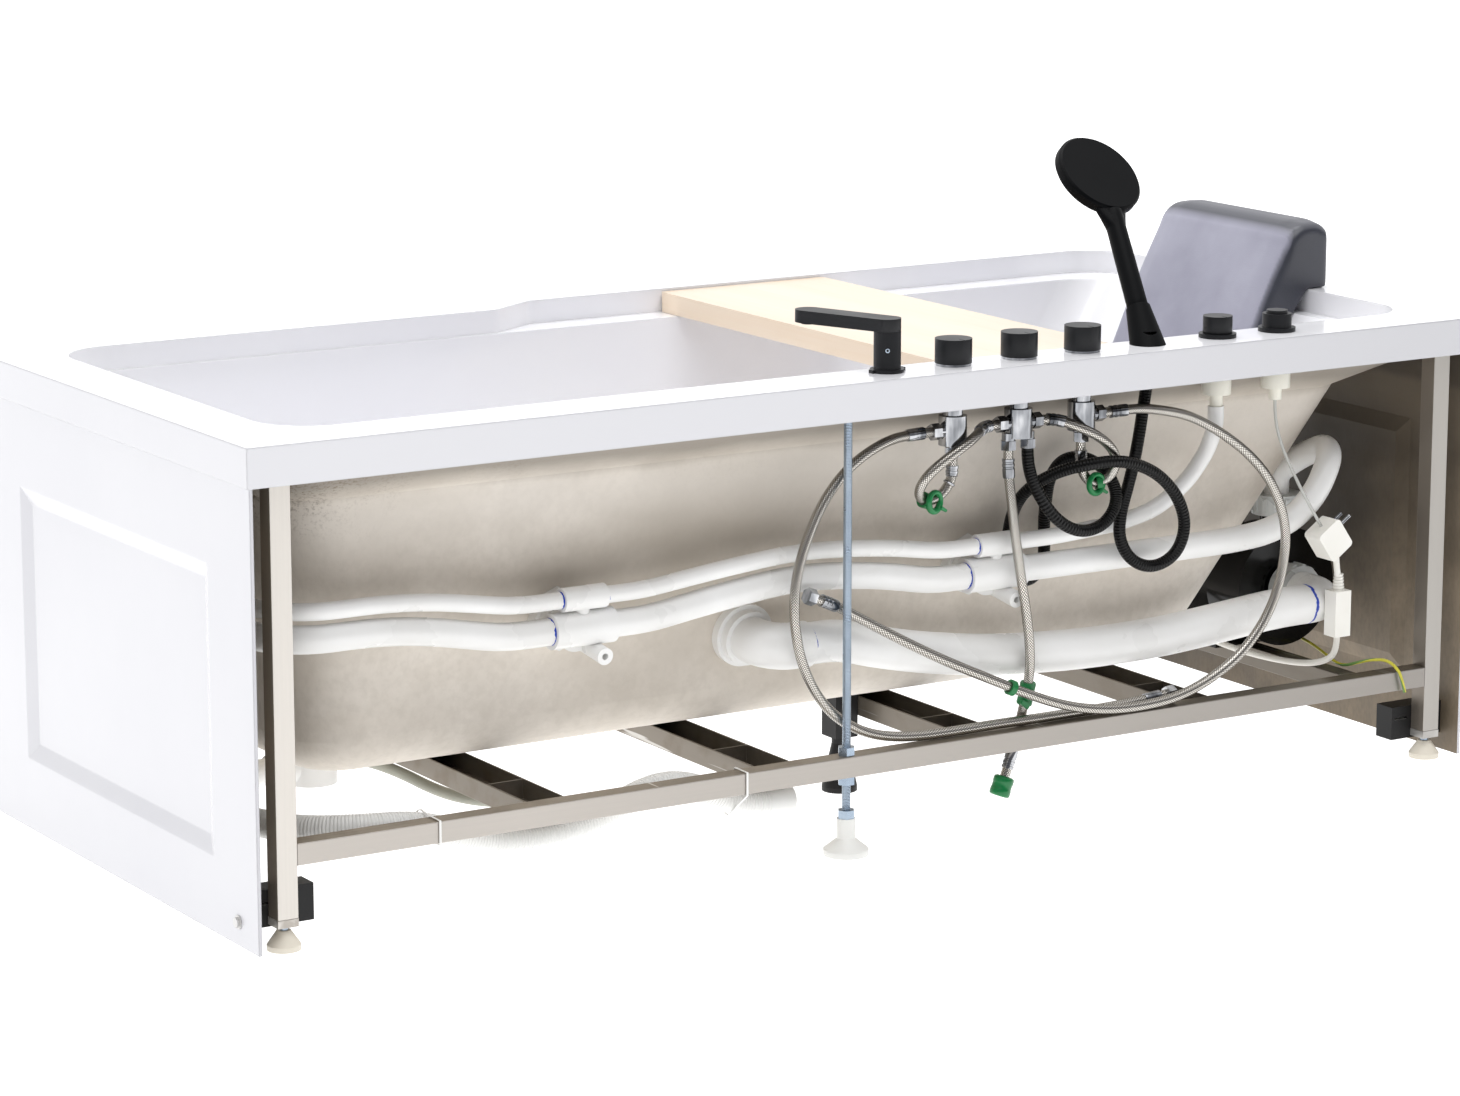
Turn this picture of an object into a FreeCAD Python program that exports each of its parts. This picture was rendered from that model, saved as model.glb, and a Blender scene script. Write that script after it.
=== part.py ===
import FreeCAD, Part
import math
import os
import re
import types
from FreeCAD import Placement, Rotation, Vector

# Jetted bath, 1.7 m, shown from its open service side.
# Frame: floor centre, +X to the headrest end, -Y the service side, +Z up. Millimetres.

SIZES = {
    # Rim, deck and basin
    "rim_length": 1700,
    "rim_width": 800,
    "rim_height": 565,
    "rim_face": 45,
    "acrylic_wall": 4,
    "backing_wall": 4,
    "front_deck": 78,
    "back_deck": 62,
    "back_deck_foot": 105,
    "foot_deck": 78,
    "head_deck": 38,
    "back_step_x": -130,
    "step_run": 70,
    "step_radius": 22,
    "opening_radius": 70,
    "ledge_depth": 30,
    "belt_bottom": 505,
    "belt_end": 472,
    "basin_half_width": 292,
    "basin_foot_x": -766,
    "basin_head_x": 790,
    "basin_radius": 85,
    "floor_half_width": 240,
    "floor_foot_x": -705,
    "floor_head_x": 510,
    "floor_radius": 75,
    "floor_fillet": 46,
    "floor_height": 151,
    # End aprons
    "apron_gap": 1,
    "apron_sheet": 4,
    "apron_setback": 2,
    "apron_ground_gap": 3,
    "apron_tuck": 25,
    "field_front": 115,
    "field_back": 174,
    "field_top": 100,
    "field_bottom": 90,
    "field_bevel": 20,
    "field_depth": 7,
    "apron_screw_y": 345,
    "apron_screw_z": 30,
    "apron_screw_radius": 3,
    "apron_screw_length": 14,
    "washer_radius": 8,
    "washer_thickness": 1.5,
    "screw_head_radius": 6,
    "screw_head_height": 3,
    # Frame
    "tube_side": 25,
    "tube_wall": 1.5,
    "post_x": 804.5,
    "frame_setback": 15,
    "post_bottom": 36,
    "rail_bottom": 95,
    "bar_width": 50,
    "bar_sheet": 2,
    "bar_web_offset": 90,
    "first_bar_x": -470,
    "second_bar_x": -168,
    "third_bar_x": 125,
    "fourth_bar_x": 442,
    "pad_length": 240,
    "plug_height": 9,
    "plug_clearance": 0.05,
    # Feet
    "foot_radius": 19,
    "foot_rim": 6,
    "foot_top_radius": 8,
    "foot_height": 22,
    "stud_radius": 5,
    "stud_length": 70,
    "rod_x": -72,
    "rod_radius": 5,
    "rod_bottom": 12,
    "rod_hole_clearance": 0.5,
    "rod_nut_radius": 10.5,
    "rod_nut_height": 10,
    "rod_foot_radius": 27,
    "rod_foot_rim": 7,
    "rod_foot_flare": 13,
    "rod_foot_neck": 11,
    "rod_foot_height": 44,
    "leg_x": 83,
    "leg_y": -120,
    "leg_side": 32,
    "leg_block": 74,
    "leg_waist": 10,
    "leg_flare": 22,
    "leg_foot_height": 60,
    # Panel catches
    "catch_width": 80,
    "catch_height": 42,
    "catch_depth": 30,
    "catch_z": 24,
    "catch_slot": 3,
    # Deck fittings
    "tap_setback": 48,
    "spout_x": -5,
    "hot_x": 88,
    "diverter_x": 182,
    "cold_x": 274,
    "shower_x": 371,
    "air_x": 476,
    "button_x": 567,
    "shank_radius": 12,
    "shank_clearance": 0.4,
    "shank_length": 46,
    "back_nut_radius": 19,
    "back_nut_height": 8,
    "spout_flange_radius": 20,
    "spout_flange": 4,
    "spout_column_radius": 16,
    "spout_column": 48,
    "spout_reach": 112,
    "spout_arm_height": 15,
    "spout_heading": 112,
    "spigot_radius": 8,
    "spigot_depth": 20,
    "running_fit": 0.05,
    "swivel_gap": 0.3,
    "aerator_radius": 9,
    "aerator_height": 2,
    "knob_radius": 22,
    "knob_height": 29,
    "knob_ring_radius": 21,
    "knob_ring": 2.5,
    "stem_radius": 5,
    "stem_height": 18,
    "valve_radius": 17,
    "valve_height": 35,
    "valve_top_drop": 60,
    "port_radius": 8,
    "port_length": 3,
    "shower_port_offset": 14,
    "control_flange_radius": 23,
    "control_flange": 5,
    "control_drop": 66,
    "control_shank_radius": 15,
    "control_body_radius": 18,
    "control_body_height": 22,
    "control_knob_radius": 18,
    "control_knob_height": 21,
    "control_spigot_radius": 8,
    "control_spigot": 15,
    "button_cap_radius": 13,
    "button_cap_height": 9,
    "button_stem_radius": 6,
    "button_travel": 4,
    # Hand shower and its holder
    "holder_base_radius": 22,
    "holder_top_radius": 15,
    "holder_height": 50,
    "holder_bore": 11.1,
    "holder_throat": 11,
    "shower_lean": 38.3,
    "shower_heading": 77,
    "shower_roll": 15,
    "handle_start": 16,
    "tail_radius": 11,
    "handle_radius": 13,
    "handle_neck_radius": 12,
    "handle_length": 169,
    "head_radius": 57.5,
    "head_thickness": 16,
    "head_offset": 56.5,
    "head_tilt": 8.5,
    "collar_drop": 24,
    "collar_half_width": 30,
    "collar_half_depth": 5.5,
    "collar_reach": 34,
    "spray_plate_radius": 45,
    "spray_plate": 3,
    # Headrest and bath board
    "headrest_front_y": -110,
    "headrest_back_y": 172,
    "headrest_top": 653,
    "headrest_lip_z": 441.5,
    "headrest_gap": 0.4,
    "headrest_crown": 5,
    "headrest_drawn_in": 9,
    "board_x": 100,
    "board_width": 250,
    "board_thickness": 26,
    "board_gap": 0.3,
    "board_play": 2,
    "board_edge": 5,
    # Jets
    "jet_z": 305,
    "foot_jet_x": -403,
    "head_jet_x": 165,
    "jet_neck_radius": 20,
    "jet_hole_clearance": 0.5,
    "jet_nut_radius": 37,
    "jet_nut": 14,
    "jet_collar_radius": 30,
    "jet_collar": 24,
    "jet_barrel_radius": 25,
    "jet_barrel_short": 6,
    "jet_bore_short": 11,
    "tee_offset": 58,
    "water_tee_radius": 21,
    "water_tee_length": 80,
    "water_tee_rise": 6,
    "air_tee_radius": 14,
    "air_tee_length": 56,
    "air_tee_rise": 42,
    "tee_web_radius": 9,
    "jet_port_radius": 10,
    "jet_port_start": 33,
    "jet_port_end": 88,
    "jet_port_drop": 21,
    "jet_port_shift": 17,
    "jet_port_bore": 4,
    "jet_port_depth": 12,
    "jet_bore": 14,
    "nozzle_radius": 36,
    "nozzle_bevel": 3,
    "nozzle_eye_shift": 3,
    "nozzle_thickness": 6,
    "nozzle_eye_radius": 11,
    # Pipes
    "water_pipe_radius": 16,
    "air_pipe_radius": 10,
    "pipe_wall": 2.5,
    "pipe_side_x": -787,
    "suction_x": -151,
    "suction_z": 255,
    "suction_flange_radius": 38,
    "suction_flange": 12,
    "suction_collar_radius": 33,
    "suction_collar": 24,
    "suction_barrel_radius": 30,
    "suction_bend": 36,
    "suction_exit_offset": 62,
    "suction_exit": 52,
    "suction_pipe_radius": 25,
    "suction_elbow_radius": 40,
    # Pump
    "pump_x": 688,
    "pump_z": 208,
    "pump_face_y": -232,
    "volute_radius": 76,
    "volute_depth": 67,
    "volute_wall": 6,
    "inlet_radius": 25,
    "inlet_bore": 18,
    "inlet_length": 4,
    "union_radius": 34,
    "union_length": 26,
    "union_rib": 2,
    "union_ribs": 14,
    "outlet_offset": -2,
    "outlet_radius": 20,
    "outlet_bore": 14,
    "outlet_height": 92,
    "motor_radius": 52,
    "motor_length": 195,
    "motor_fin": 4,
    "motor_fins": 12,
    "motor_base_width": 110,
    "motor_base_length": 170,
    "gland_radius": 7,
    "gland_length": 62,
    "gland_y": -60,
    "gland_drop": 8,
    "shaft_radius": 8,
    "impeller_radius": 60,
    "impeller_hub": 16,
    "impeller_disc": 4,
    "impeller_height": 30,
    "impeller_clearance": 6,
    "vanes": 6,
    "vane_thickness": 4,
    # Waste
    "drain_x": -582,
    "drain_hole_radius": 24,
    "drain_flange_radius": 35,
    "drain_flange": 2.5,
    "drain_body_radius": 30,
    "drain_neck_radius": 23,
    "drain_body_bottom": 75,
    "drain_tail": 58,
    "drain_outlet_radius": 19,
    "drain_outlet_z": 95,
    "drain_bottom": 6,
    "drain_guide_height": 24,
    "drain_guide_wall": 4,
    "drain_stem_gap": 4,
    "drain_nipple_radius": 7,
    "drain_nipple": 34,
    "drain_cap_radius": 30,
    "drain_cap": 4,
    "drain_stem_radius": 4,
    "drain_bore": 18,
    # Hoses
    "braid_radius": 6,
    "shower_hose_radius": 7.5,
    "drain_hose_radius": 16,
    "drain_hose_groove": 1.8,
    "drain_hose_bore": 12,
    "drain_hose_ribs": 120,
    "bleed_tube_radius": 7,
    "mains_cord_radius": 4,
    "earth_wire_radius": 2,
    "switch_tube_radius": 2.5,
    "hose_nut_radius": 10,
    "hose_nut_length": 11,
    "clip_wall": 3.5,
    "clip_clearance": 0.6,
    "clip_width": 7,
    "cap_radius": 12,
    "cap_length": 20,
    # Mains plug
    "plug_width": 38,
    "plug_depth": 30,
    "plug_corner": 5,
    "plug_tall": 42,
    "plug_x": 648,
    "plug_y": -363,
    "plug_z": 298,
    "plug_tilt": 35,
    "pin_rise": 8,
    "pin_pitch": 16,
    "connector_width": 24,
    "connector_depth": 22,
    "connector_length": 58,
    "connector_x": 668,
    "connector_y": -360.3,
    "connector_z": 172,
    "pin_radius": 2.4,
    "pin_length": 18,
}

doc = FreeCAD.newDocument("jetted_bath")
sheet = doc.addObject("Spreadsheet::Sheet", "Sizes")
for row, (name, value) in enumerate(SIZES.items(), start=1):
    cell = "A%d" % row
    sheet.set(cell, str(value))
    sheet.setAlias(cell, name)
doc.recompute()
S = types.SimpleNamespace(**{name: float(sheet.get(name)) for name in SIZES})

NODES = []
X_AXIS = Vector(1, 0, 0)
Y_AXIS = Vector(0, 1, 0)
Z_AXIS = Vector(0, 0, 1)
UPRIGHT = Rotation()
ALONG_X = Rotation(Y_AXIS, 90)
AGAINST_X = Rotation(Y_AXIS, -90)
AGAINST_Y = Rotation(X_AXIS, 90)

# Shared places, as sums of the sheet's sizes
TAP_Y = "(tap_setback - rim_width / 2)"
POST_FRONT = "(frame_setback - rim_width / 2)"
DECK_UNDER = "(rim_height - acrylic_wall)"
RAIL_TOP = "(rail_bottom + tube_side)"


# Document helpers

def bind(item, prop, text):
    """Tie one property to an expression of the sheet's sizes."""
    item.setExpression(prop, re.sub(r"[a-z][a-z_]+[a-z]", lambda word: "Sizes." + word.group(), text))


def place(item, at, turn=UPRIGHT):
    """Set an item's rotation and tie its position to the sheet."""
    item.Placement = Placement(Vector(), turn)
    for axis, text in zip("xyz", at):
        bind(item, "Placement.Base." + axis, text)
    return item


def add(kind, label):
    item = doc.addObject(kind, label)
    item.Label = label
    return item


def box(label, sides, at):
    item = add("Part::Box", label)
    for prop, text in zip(("Length", "Width", "Height"), sides):
        bind(item, prop, text)
    return place(item, at)


def bar(label, radius, length, at, turn=UPRIGHT):
    item = add("Part::Cylinder", label)
    bind(item, "Radius", radius)
    bind(item, "Height", length)
    return place(item, at, turn)


def hexagon(label, radius, height, at, turn=UPRIGHT):
    item = add("Part::Prism", label)
    item.Polygon = 6
    bind(item, "Circumradius", radius)
    bind(item, "Height", height)
    return place(item, at, turn)


def fuse(label, items, at=None, turn=UPRIGHT):
    item = add("Part::MultiFuse", label)
    item.Shapes = items
    return place(item, at, turn) if at else item


def cut(label, base, tools):
    tool = tools[0] if len(tools) == 1 else fuse(label + "_tool", tools)
    item = add("Part::Cut", label)
    item.Base = base
    item.Tool = tool
    return item


def group(label, items):
    item = add("Part::Compound", label)
    item.Links = items
    return item


def stack(label, sections, at, turn=UPRIGHT, start="0"):
    """Round sections one on the other along +Z, then turned and placed as one piece."""
    items = []
    level = start
    for number, (low, high, height) in enumerate(sections):
        if low == high:
            item = add("Part::Cylinder", "%s_step_%d" % (label, number))
            bind(item, "Radius", low)
        else:
            item = add("Part::Cone", "%s_step_%d" % (label, number))
            bind(item, "Radius1", low)
            bind(item, "Radius2", high)
        bind(item, "Height", height)
        bind(item, "Placement.Base.z", level)
        items.append(item)
        level = "%s + %s" % (level, height)
    return fuse(label, items, at, turn)


def shaped(label, shape, at=Vector(), turn=UPRIGHT):
    """A sub-part whose shape is worked out in code, from the sheet's sizes."""
    item = add("Part::Feature", label)
    item.Shape = shape
    item.Placement = Placement(at, turn)
    return item


def node(item):
    NODES.append(item)
    return item


# Geometry helpers

def rounded_edges(points, radii, closed=False):
    """Straight runs joined by tangent arcs, one radius for each corner."""
    count = len(points)
    inner = range(count) if closed else range(1, count - 1)
    corners = [index for index in inner if radii[index] > 0]
    arcs = {}
    for index in corners:
        corner = points[index]
        inward = corner.sub(points[index - 1]).normalize()
        outward = points[(index + 1) % count].sub(corner).normalize()
        half_turn = inward.getAngle(outward) / 2
        radius = radii[index]
        reach = radius * math.tan(half_turn)
        centre = corner + (outward - inward).normalize() * (radius / math.cos(half_turn))
        middle = centre + (corner - centre).normalize() * radius
        arcs[index] = (corner - inward * reach, middle, corner + outward * reach)
    edges = []
    order = corners if closed else [0] + corners + [count - 1]
    for place_in_order, index in enumerate(order):
        if index in arcs:
            edges.append(Part.Arc(*arcs[index]).toShape())
        if not closed and place_in_order == len(order) - 1:
            break
        following = order[(place_in_order + 1) % len(order)]
        begin = arcs[index][2] if index in arcs else points[index]
        finish = arcs[following][0] if following in arcs else points[following]
        if begin.distanceToPoint(finish) > 1e-4:
            edges.append(Part.LineSegment(begin, finish).toShape())
    return Part.__sortEdges__(edges) if closed else edges


def outline(points, radii, level):
    corners = [Vector(x, y, level) for x, y in points]
    return Part.Wire(rounded_edges(corners, radii, closed=True))


def rectangle(x_low, x_high, y_low, y_high, radius, level):
    points = [(x_low, y_low), (x_high, y_low), (x_high, y_high), (x_low, y_high)]
    return outline(points, [radius] * 4, level)


def sweep(edges, radius):
    """A round bar along a path, with its volume compared with section times length."""
    path = Part.Wire(edges)
    first = edges[0]
    start = first.valueAt(first.FirstParameter)
    heading = first.tangentAt(first.FirstParameter)
    ring = Part.Wire([Part.makeCircle(radius, start, heading)])
    solid = path.makePipeShell([ring], True, False)
    expected = math.pi * radius ** 2 * path.Length
    if abs(solid.Volume - expected) > 0.01 * expected:
        raise ValueError("swept volume %.0f, expected %.0f" % (solid.Volume, expected))
    return solid


def pipe(points, radius, wall):
    """A hollow pipe through the given points."""
    edges = rounded_edges(points, corner_radii(points))
    return sweep(edges, radius).cut(sweep(edges, radius - wall))


def corner_radii(points):
    """Each corner's radius as large as its two runs allow."""
    radii = [0.0] * len(points)
    for index in range(1, len(points) - 1):
        before = points[index].sub(points[index - 1])
        after = points[index + 1].sub(points[index])
        half_turn = before.getAngle(after) / 2
        if half_turn < 1e-4:
            continue
        radii[index] = 0.45 * min(before.Length, after.Length) / math.tan(half_turn)
    return radii


def cord(label, points, radius):
    """A free cord's solid: the runs of its route joined by arcs as large as they allow."""
    corners = [Vector(*point) for point in points]
    radii = corner_radii(corners)
    edges = rounded_edges(corners, radii)
    tight = ", ".join("%.0f" % value for value in radii[1:-1])
    print(label, "length %.0f mm, radii %s" % (Part.Wire(edges).Length, tight))
    return sweep(edges, radius)


def along(start, heading, distance):
    return Vector(*start) + Vector(*heading) * distance


# Basin surfaces: the inside, the acrylic's back and the backing's back

HALF_LENGTH = S.rim_length / 2
HALF_WIDTH = S.rim_width / 2
LEDGE_Z = S.rim_height - S.ledge_depth
SHELL_WALL = S.acrylic_wall + S.backing_wall
BACKING_BOTTOM = S.floor_height - SHELL_WALL
WALL_RUN = (S.basin_half_width - S.floor_half_width) / (LEDGE_Z - S.floor_height)
OUTER_RUN = (S.basin_half_width - S.floor_half_width) / (LEDGE_Z - BACKING_BOTTOM)
WALL_TILT = math.degrees(math.atan(OUTER_RUN))


def lower_basin(offset):
    """The basin below the ledge, grown outwards by an offset."""
    top = rectangle(S.basin_foot_x - offset, S.basin_head_x + offset,
                    -S.basin_half_width - offset, S.basin_half_width + offset,
                    S.basin_radius + offset, LEDGE_Z)
    bottom = rectangle(S.floor_foot_x - offset, S.floor_head_x + offset,
                       -S.floor_half_width - offset, S.floor_half_width + offset,
                       S.floor_radius + offset, S.floor_height - offset)
    solid = Part.makeLoft([bottom, top], True, True)
    floor_edges = [edge for edge in solid.Edges
                   if edge.BoundBox.ZMax < S.floor_height - offset + 1e-3]
    return solid.makeFillet(S.floor_fillet + offset, floor_edges)


def upper_opening(offset, low, high):
    """The wider opening above the ledge, stepped where the deck changes width."""
    left = -HALF_LENGTH + S.foot_deck
    right = HALF_LENGTH - S.head_deck
    front = -HALF_WIDTH + S.front_deck
    back_foot = HALF_WIDTH - S.back_deck_foot
    back_head = HALF_WIDTH - S.back_deck
    points = [(left, front), (right, front), (right, back_head), (S.back_step_x + S.step_run / 2, back_head),
              (S.back_step_x - S.step_run / 2, back_foot), (left, back_foot)]
    radii = [S.opening_radius] * 3 + [S.step_radius] * 2 + [S.opening_radius]
    wire = outline(points, radii, low)
    if offset:
        wire = wire.makeOffset2D(offset)
    return Part.Face(wire).extrude(Vector(0, 0, high - low))


def stiffening_belt():
    """The thick laminate under the ledge, tapering into the wall below."""
    left = -HALF_LENGTH + S.foot_deck - SHELL_WALL
    right = HALF_LENGTH - S.head_deck + SHELL_WALL
    front = -HALF_WIDTH + S.front_deck - SHELL_WALL - 1
    back = HALF_WIDTH - S.back_deck_foot + SHELL_WALL
    radius = S.opening_radius + SHELL_WALL
    share = (S.belt_end - S.floor_height) / (LEDGE_Z - S.floor_height)
    foot_x = S.floor_foot_x + share * (S.basin_foot_x - S.floor_foot_x) - S.acrylic_wall
    head_x = S.floor_head_x + share * (S.basin_head_x - S.floor_head_x) + S.acrylic_wall
    half = wall_y(S.belt_end) + S.acrylic_wall
    sections = [rectangle(foot_x, head_x, -half, half, S.basin_radius, S.belt_end),
                rectangle(left, right, front, back, radius, S.belt_bottom),
                rectangle(left, right, front, back, radius, LEDGE_Z - S.acrylic_wall)]
    return Part.makeLoft(sections, True, True)


def wall_y(height):
    """Half the width of the basin inside, at a height."""
    return S.floor_half_width + WALL_RUN * (height - S.floor_height)


def outer_wall_y(height):
    """Half the width of the backing outside, at a height."""
    return S.floor_half_width + SHELL_WALL + OUTER_RUN * (height - BACKING_BOTTOM)


def wall_thickness(height):
    """From the backing's outer face to the basin's inside, square to the wall."""
    return (outer_wall_y(height) - wall_y(height)) * math.cos(math.radians(WALL_TILT))


def wall_point(x, height, side):
    """A point on the backing's outer face; side is -1 at the front and 1 at the back."""
    return Vector(x, side * outer_wall_y(height), height)


def wall_turn(side):
    """Turns +Z to the wall's outward normal, with +Y up."""
    lean = 90 + WALL_TILT
    if side < 0:
        return Rotation(X_AXIS, lean)
    return Rotation(X_AXIS, -lean).multiply(Rotation(Z_AXIS, 180))


JETS = [("front_foot", S.foot_jet_x, -1), ("front_head", S.head_jet_x, -1),
        ("back_foot", S.foot_jet_x, 1), ("back_head", S.head_jet_x, 1)]


def wall_hole(x, height, side, radius):
    reach = 3 * SHELL_WALL
    hole = Part.makeCylinder(radius, 2 * reach, Vector(0, 0, -reach))
    hole.Placement = Placement(wall_point(x, height, side), wall_turn(side))
    return hole


def shell_holes():
    holes = []
    for _, x, side in JETS:
        holes.append(wall_hole(x, S.jet_z, side, S.jet_neck_radius + S.jet_hole_clearance))
    holes.append(wall_hole(S.suction_x, S.suction_z, -1, S.suction_barrel_radius + S.jet_hole_clearance))
    drain_reach = 4 * SHELL_WALL
    holes.append(Part.makeCylinder(S.drain_hole_radius, drain_reach,
                                   Vector(S.drain_x, 0, S.floor_height - drain_reach / 2)))
    return holes


def deck_holes():
    tap_y = S.tap_setback - HALF_WIDTH
    small = S.shank_radius + S.shank_clearance
    wide = S.control_shank_radius + S.shank_clearance
    places = [(S.spout_x, small), (S.hot_x, small), (S.diverter_x, small), (S.cold_x, small),
              (S.shower_x, S.control_shank_radius + S.shank_clearance), (S.air_x, wide), (S.button_x, wide)]
    depth = 6 * S.acrylic_wall
    return [Part.makeCylinder(radius, depth, Vector(x, tap_y, S.rim_height - depth / 2))
            for x, radius in places]


def make_shell():
    deck = Part.makeBox(S.rim_length, S.rim_width, S.rim_face,
                        Vector(-HALF_LENGTH, -HALF_WIDTH, S.rim_height - S.rim_face))
    under = Part.makeBox(S.rim_length - 2 * S.acrylic_wall, S.rim_width - 2 * S.acrylic_wall,
                         S.rim_face - S.acrylic_wall,
                         Vector(S.acrylic_wall - HALF_LENGTH, S.acrylic_wall - HALF_WIDTH,
                                S.rim_height - S.rim_face))
    upper_back = upper_opening(S.acrylic_wall, LEDGE_Z - S.acrylic_wall, S.rim_height)
    lower_back = lower_basin(S.acrylic_wall)
    upper_inside = upper_opening(0, LEDGE_Z, S.rim_height + S.acrylic_wall)
    lower_inside = lower_basin(0)
    acrylic = deck.cut(under).fuse([upper_back, lower_back])
    acrylic = acrylic.cut([upper_inside, lower_inside])
    acrylic = acrylic.cut(shell_holes() + deck_holes()).removeSplitter()
    upper_outer = upper_opening(SHELL_WALL, LEDGE_Z - SHELL_WALL, S.rim_height - S.acrylic_wall)
    lower_outer = lower_basin(SHELL_WALL)
    backing = upper_outer.fuse([lower_outer, stiffening_belt()]).cut([upper_back, lower_back])
    backing = backing.cut(shell_holes()).removeSplitter()
    return acrylic, backing


ACRYLIC, BACKING = make_shell()
node(shaped("tub_shell", ACRYLIC))
node(shaped("tub_backing", BACKING))


# End aprons with a sunk field, and their screws

def field_frustum(outer_x, inner_x, inset, side):
    """The sunk field between two depths, its sides bevelled."""
    low = S.field_bottom
    high = S.rim_height - S.rim_face - S.field_top
    front = -HALF_WIDTH + S.field_front
    back = HALF_WIDTH - S.field_back
    wires = []
    for depth, shrink in ((outer_x, 0.0), (inner_x, inset)):
        corners = [Vector(side * depth, y, z) for y, z in
                   ((front + shrink, low + shrink), (back - shrink, low + shrink),
                    (back - shrink, high - shrink), (front + shrink, high - shrink))]
        wires.append(Part.makePolygon(corners + corners[:1]))
    return Part.makeLoft(wires, True, True)


def make_apron(side):
    outer = HALF_LENGTH - S.acrylic_wall - S.apron_gap
    inner = outer - S.apron_sheet
    width = S.rim_width - 2 * (S.acrylic_wall + S.apron_setback)
    height = S.rim_height - S.rim_face + S.apron_tuck - S.apron_ground_gap
    sheet_low = inner if side > 0 else -outer
    panel = Part.makeBox(S.apron_sheet, width, height, Vector(sheet_low, -width / 2, S.apron_ground_gap))
    pan = field_frustum(inner, inner - S.field_depth, S.field_bevel, side)
    sunk = field_frustum(outer, outer - S.field_depth, S.field_bevel, side)
    panel = panel.fuse(pan).cut(sunk)
    for y in (-S.apron_screw_y, S.apron_screw_y):
        reach = 4 * S.apron_sheet
        panel = panel.cut(Part.makeCylinder(S.apron_screw_radius + S.shank_clearance, reach,
                                            Vector(side * outer - reach / 2, y, S.apron_screw_z), X_AXIS))
    return panel.removeSplitter()


node(group("end_aprons", [shaped("left_apron", make_apron(-1)), shaped("right_apron", make_apron(1))]))

screws = []
for side, turn in ((-1, ALONG_X), (1, AGAINST_X)):
    outer_x = "%d * (rim_length / 2 - acrylic_wall - apron_gap + washer_thickness)" % side
    head_x = "%d * (rim_length / 2 - acrylic_wall - apron_gap + washer_thickness + screw_head_height)" % side
    for y in ("(-apron_screw_y)", "apron_screw_y"):
        label = "apron_screw_%d" % len(screws)
        seat = (outer_x, y, "apron_screw_z")
        crown = (head_x, y, "apron_screw_z")
        washer = bar(label + "_washer", "washer_radius", "washer_thickness", seat, turn)
        head = hexagon(label + "_head", "screw_head_radius", "screw_head_height", crown, turn)
        shank = bar(label + "_shank", "apron_screw_radius", "apron_screw_length", seat, turn)
        screws.append(fuse(label, [washer, head, shank]))
node(group("apron_screws", screws))


# Frame of square tube

def square_tube(label, length, at, axis):
    """A hollow square tube along one axis, from a corner."""
    bore = "tube_side - 2 * tube_wall"
    sides = ["tube_side"] * 3
    hollow = [bore] * 3
    corner = ["(%s + tube_wall)" % text for text in at]
    sides[axis] = hollow[axis] = length
    corner[axis] = at[axis]
    return cut(label, box(label + "_outside", sides, at), [box(label + "_inside", hollow, corner)])


posts = []
plugs = []
for x_text in ("(-post_x - tube_side / 2)", "(post_x - tube_side / 2)"):
    for y_text in (POST_FRONT, "(rim_width / 2 - frame_setback - tube_side)"):
        number = len(posts)
        posts.append(square_tube("post_%d" % number, DECK_UNDER + " - post_bottom",
                                 (x_text, y_text, "post_bottom"), 2))
        plate = box("plug_plate_%d" % number, ("tube_side", "tube_side", "plug_height"),
                    (x_text, y_text, "(post_bottom - plug_height)"))
        hole = bar("plug_hole_%d" % number, "stud_radius + plug_clearance", "plug_height",
                   (x_text + " + tube_side / 2", y_text + " + tube_side / 2", "(post_bottom - plug_height)"))
        plugs.append(cut("plug_%d" % number, plate, [hole]))
node(group("corner_posts", posts))
node(group("post_plugs", plugs))

RAIL_LENGTH = "(2 * post_x - tube_side)"
RAIL_X = "(tube_side / 2 - post_x)"
ROD_Y = "(frame_setback + tube_side / 2 - rim_width / 2)"
front_tube = square_tube("front_tube", RAIL_LENGTH, (RAIL_X, POST_FRONT, "rail_bottom"), 0)
rod_hole = bar("rod_hole", "rod_radius + rod_hole_clearance", "tube_side", ("rod_x", ROD_Y, "rail_bottom"))
front_rail = cut("front_rail", front_tube, [rod_hole])
rear_rail = square_tube("rear_rail", RAIL_LENGTH,
                        (RAIL_X, "(rim_width / 2 - frame_setback - tube_side)", "rail_bottom"), 0)
node(group("long_rails", [front_rail, rear_rail]))

BAR_Y = "(frame_setback + tube_side - rim_width / 2)"
BAR_LENGTH = "(rim_width - 2 * frame_setback - 2 * tube_side)"
bars = []
pads = []
for x_text in ("first_bar_x", "second_bar_x", "third_bar_x", "fourth_bar_x"):
    label = "cross_bar_%d" % (len(bars) + 1)
    low_x = "(%s - bar_width / 2)" % x_text
    outside = box(label + "_outside", ("bar_width", BAR_LENGTH, "tube_side"), (low_x, BAR_Y, "rail_bottom"))
    trough = box(label + "_trough", ("bar_width - 2 * bar_sheet", BAR_LENGTH, "tube_side"),
                 (low_x + " + bar_sheet", BAR_Y, "rail_bottom + bar_sheet"))
    webs = [box(label + "_web_%d" % number, ("bar_width - 2 * bar_sheet", "bar_sheet", "tube_side"),
                (low_x + " + bar_sheet", BAR_Y + place_text, "rail_bottom"))
            for number, place_text in enumerate((" + bar_web_offset", " + %s - bar_web_offset" % BAR_LENGTH))]
    bars.append(fuse(label, [cut(label + "_channel", outside, [trough])] + webs))
    pads.append(box("basin_pad_%d" % len(pads),
                    ("bar_width", "pad_length",
                     "floor_height - acrylic_wall - backing_wall - rail_bottom - tube_side"),
                    (low_x, "(-pad_length / 2)", RAIL_TOP)))
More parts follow.
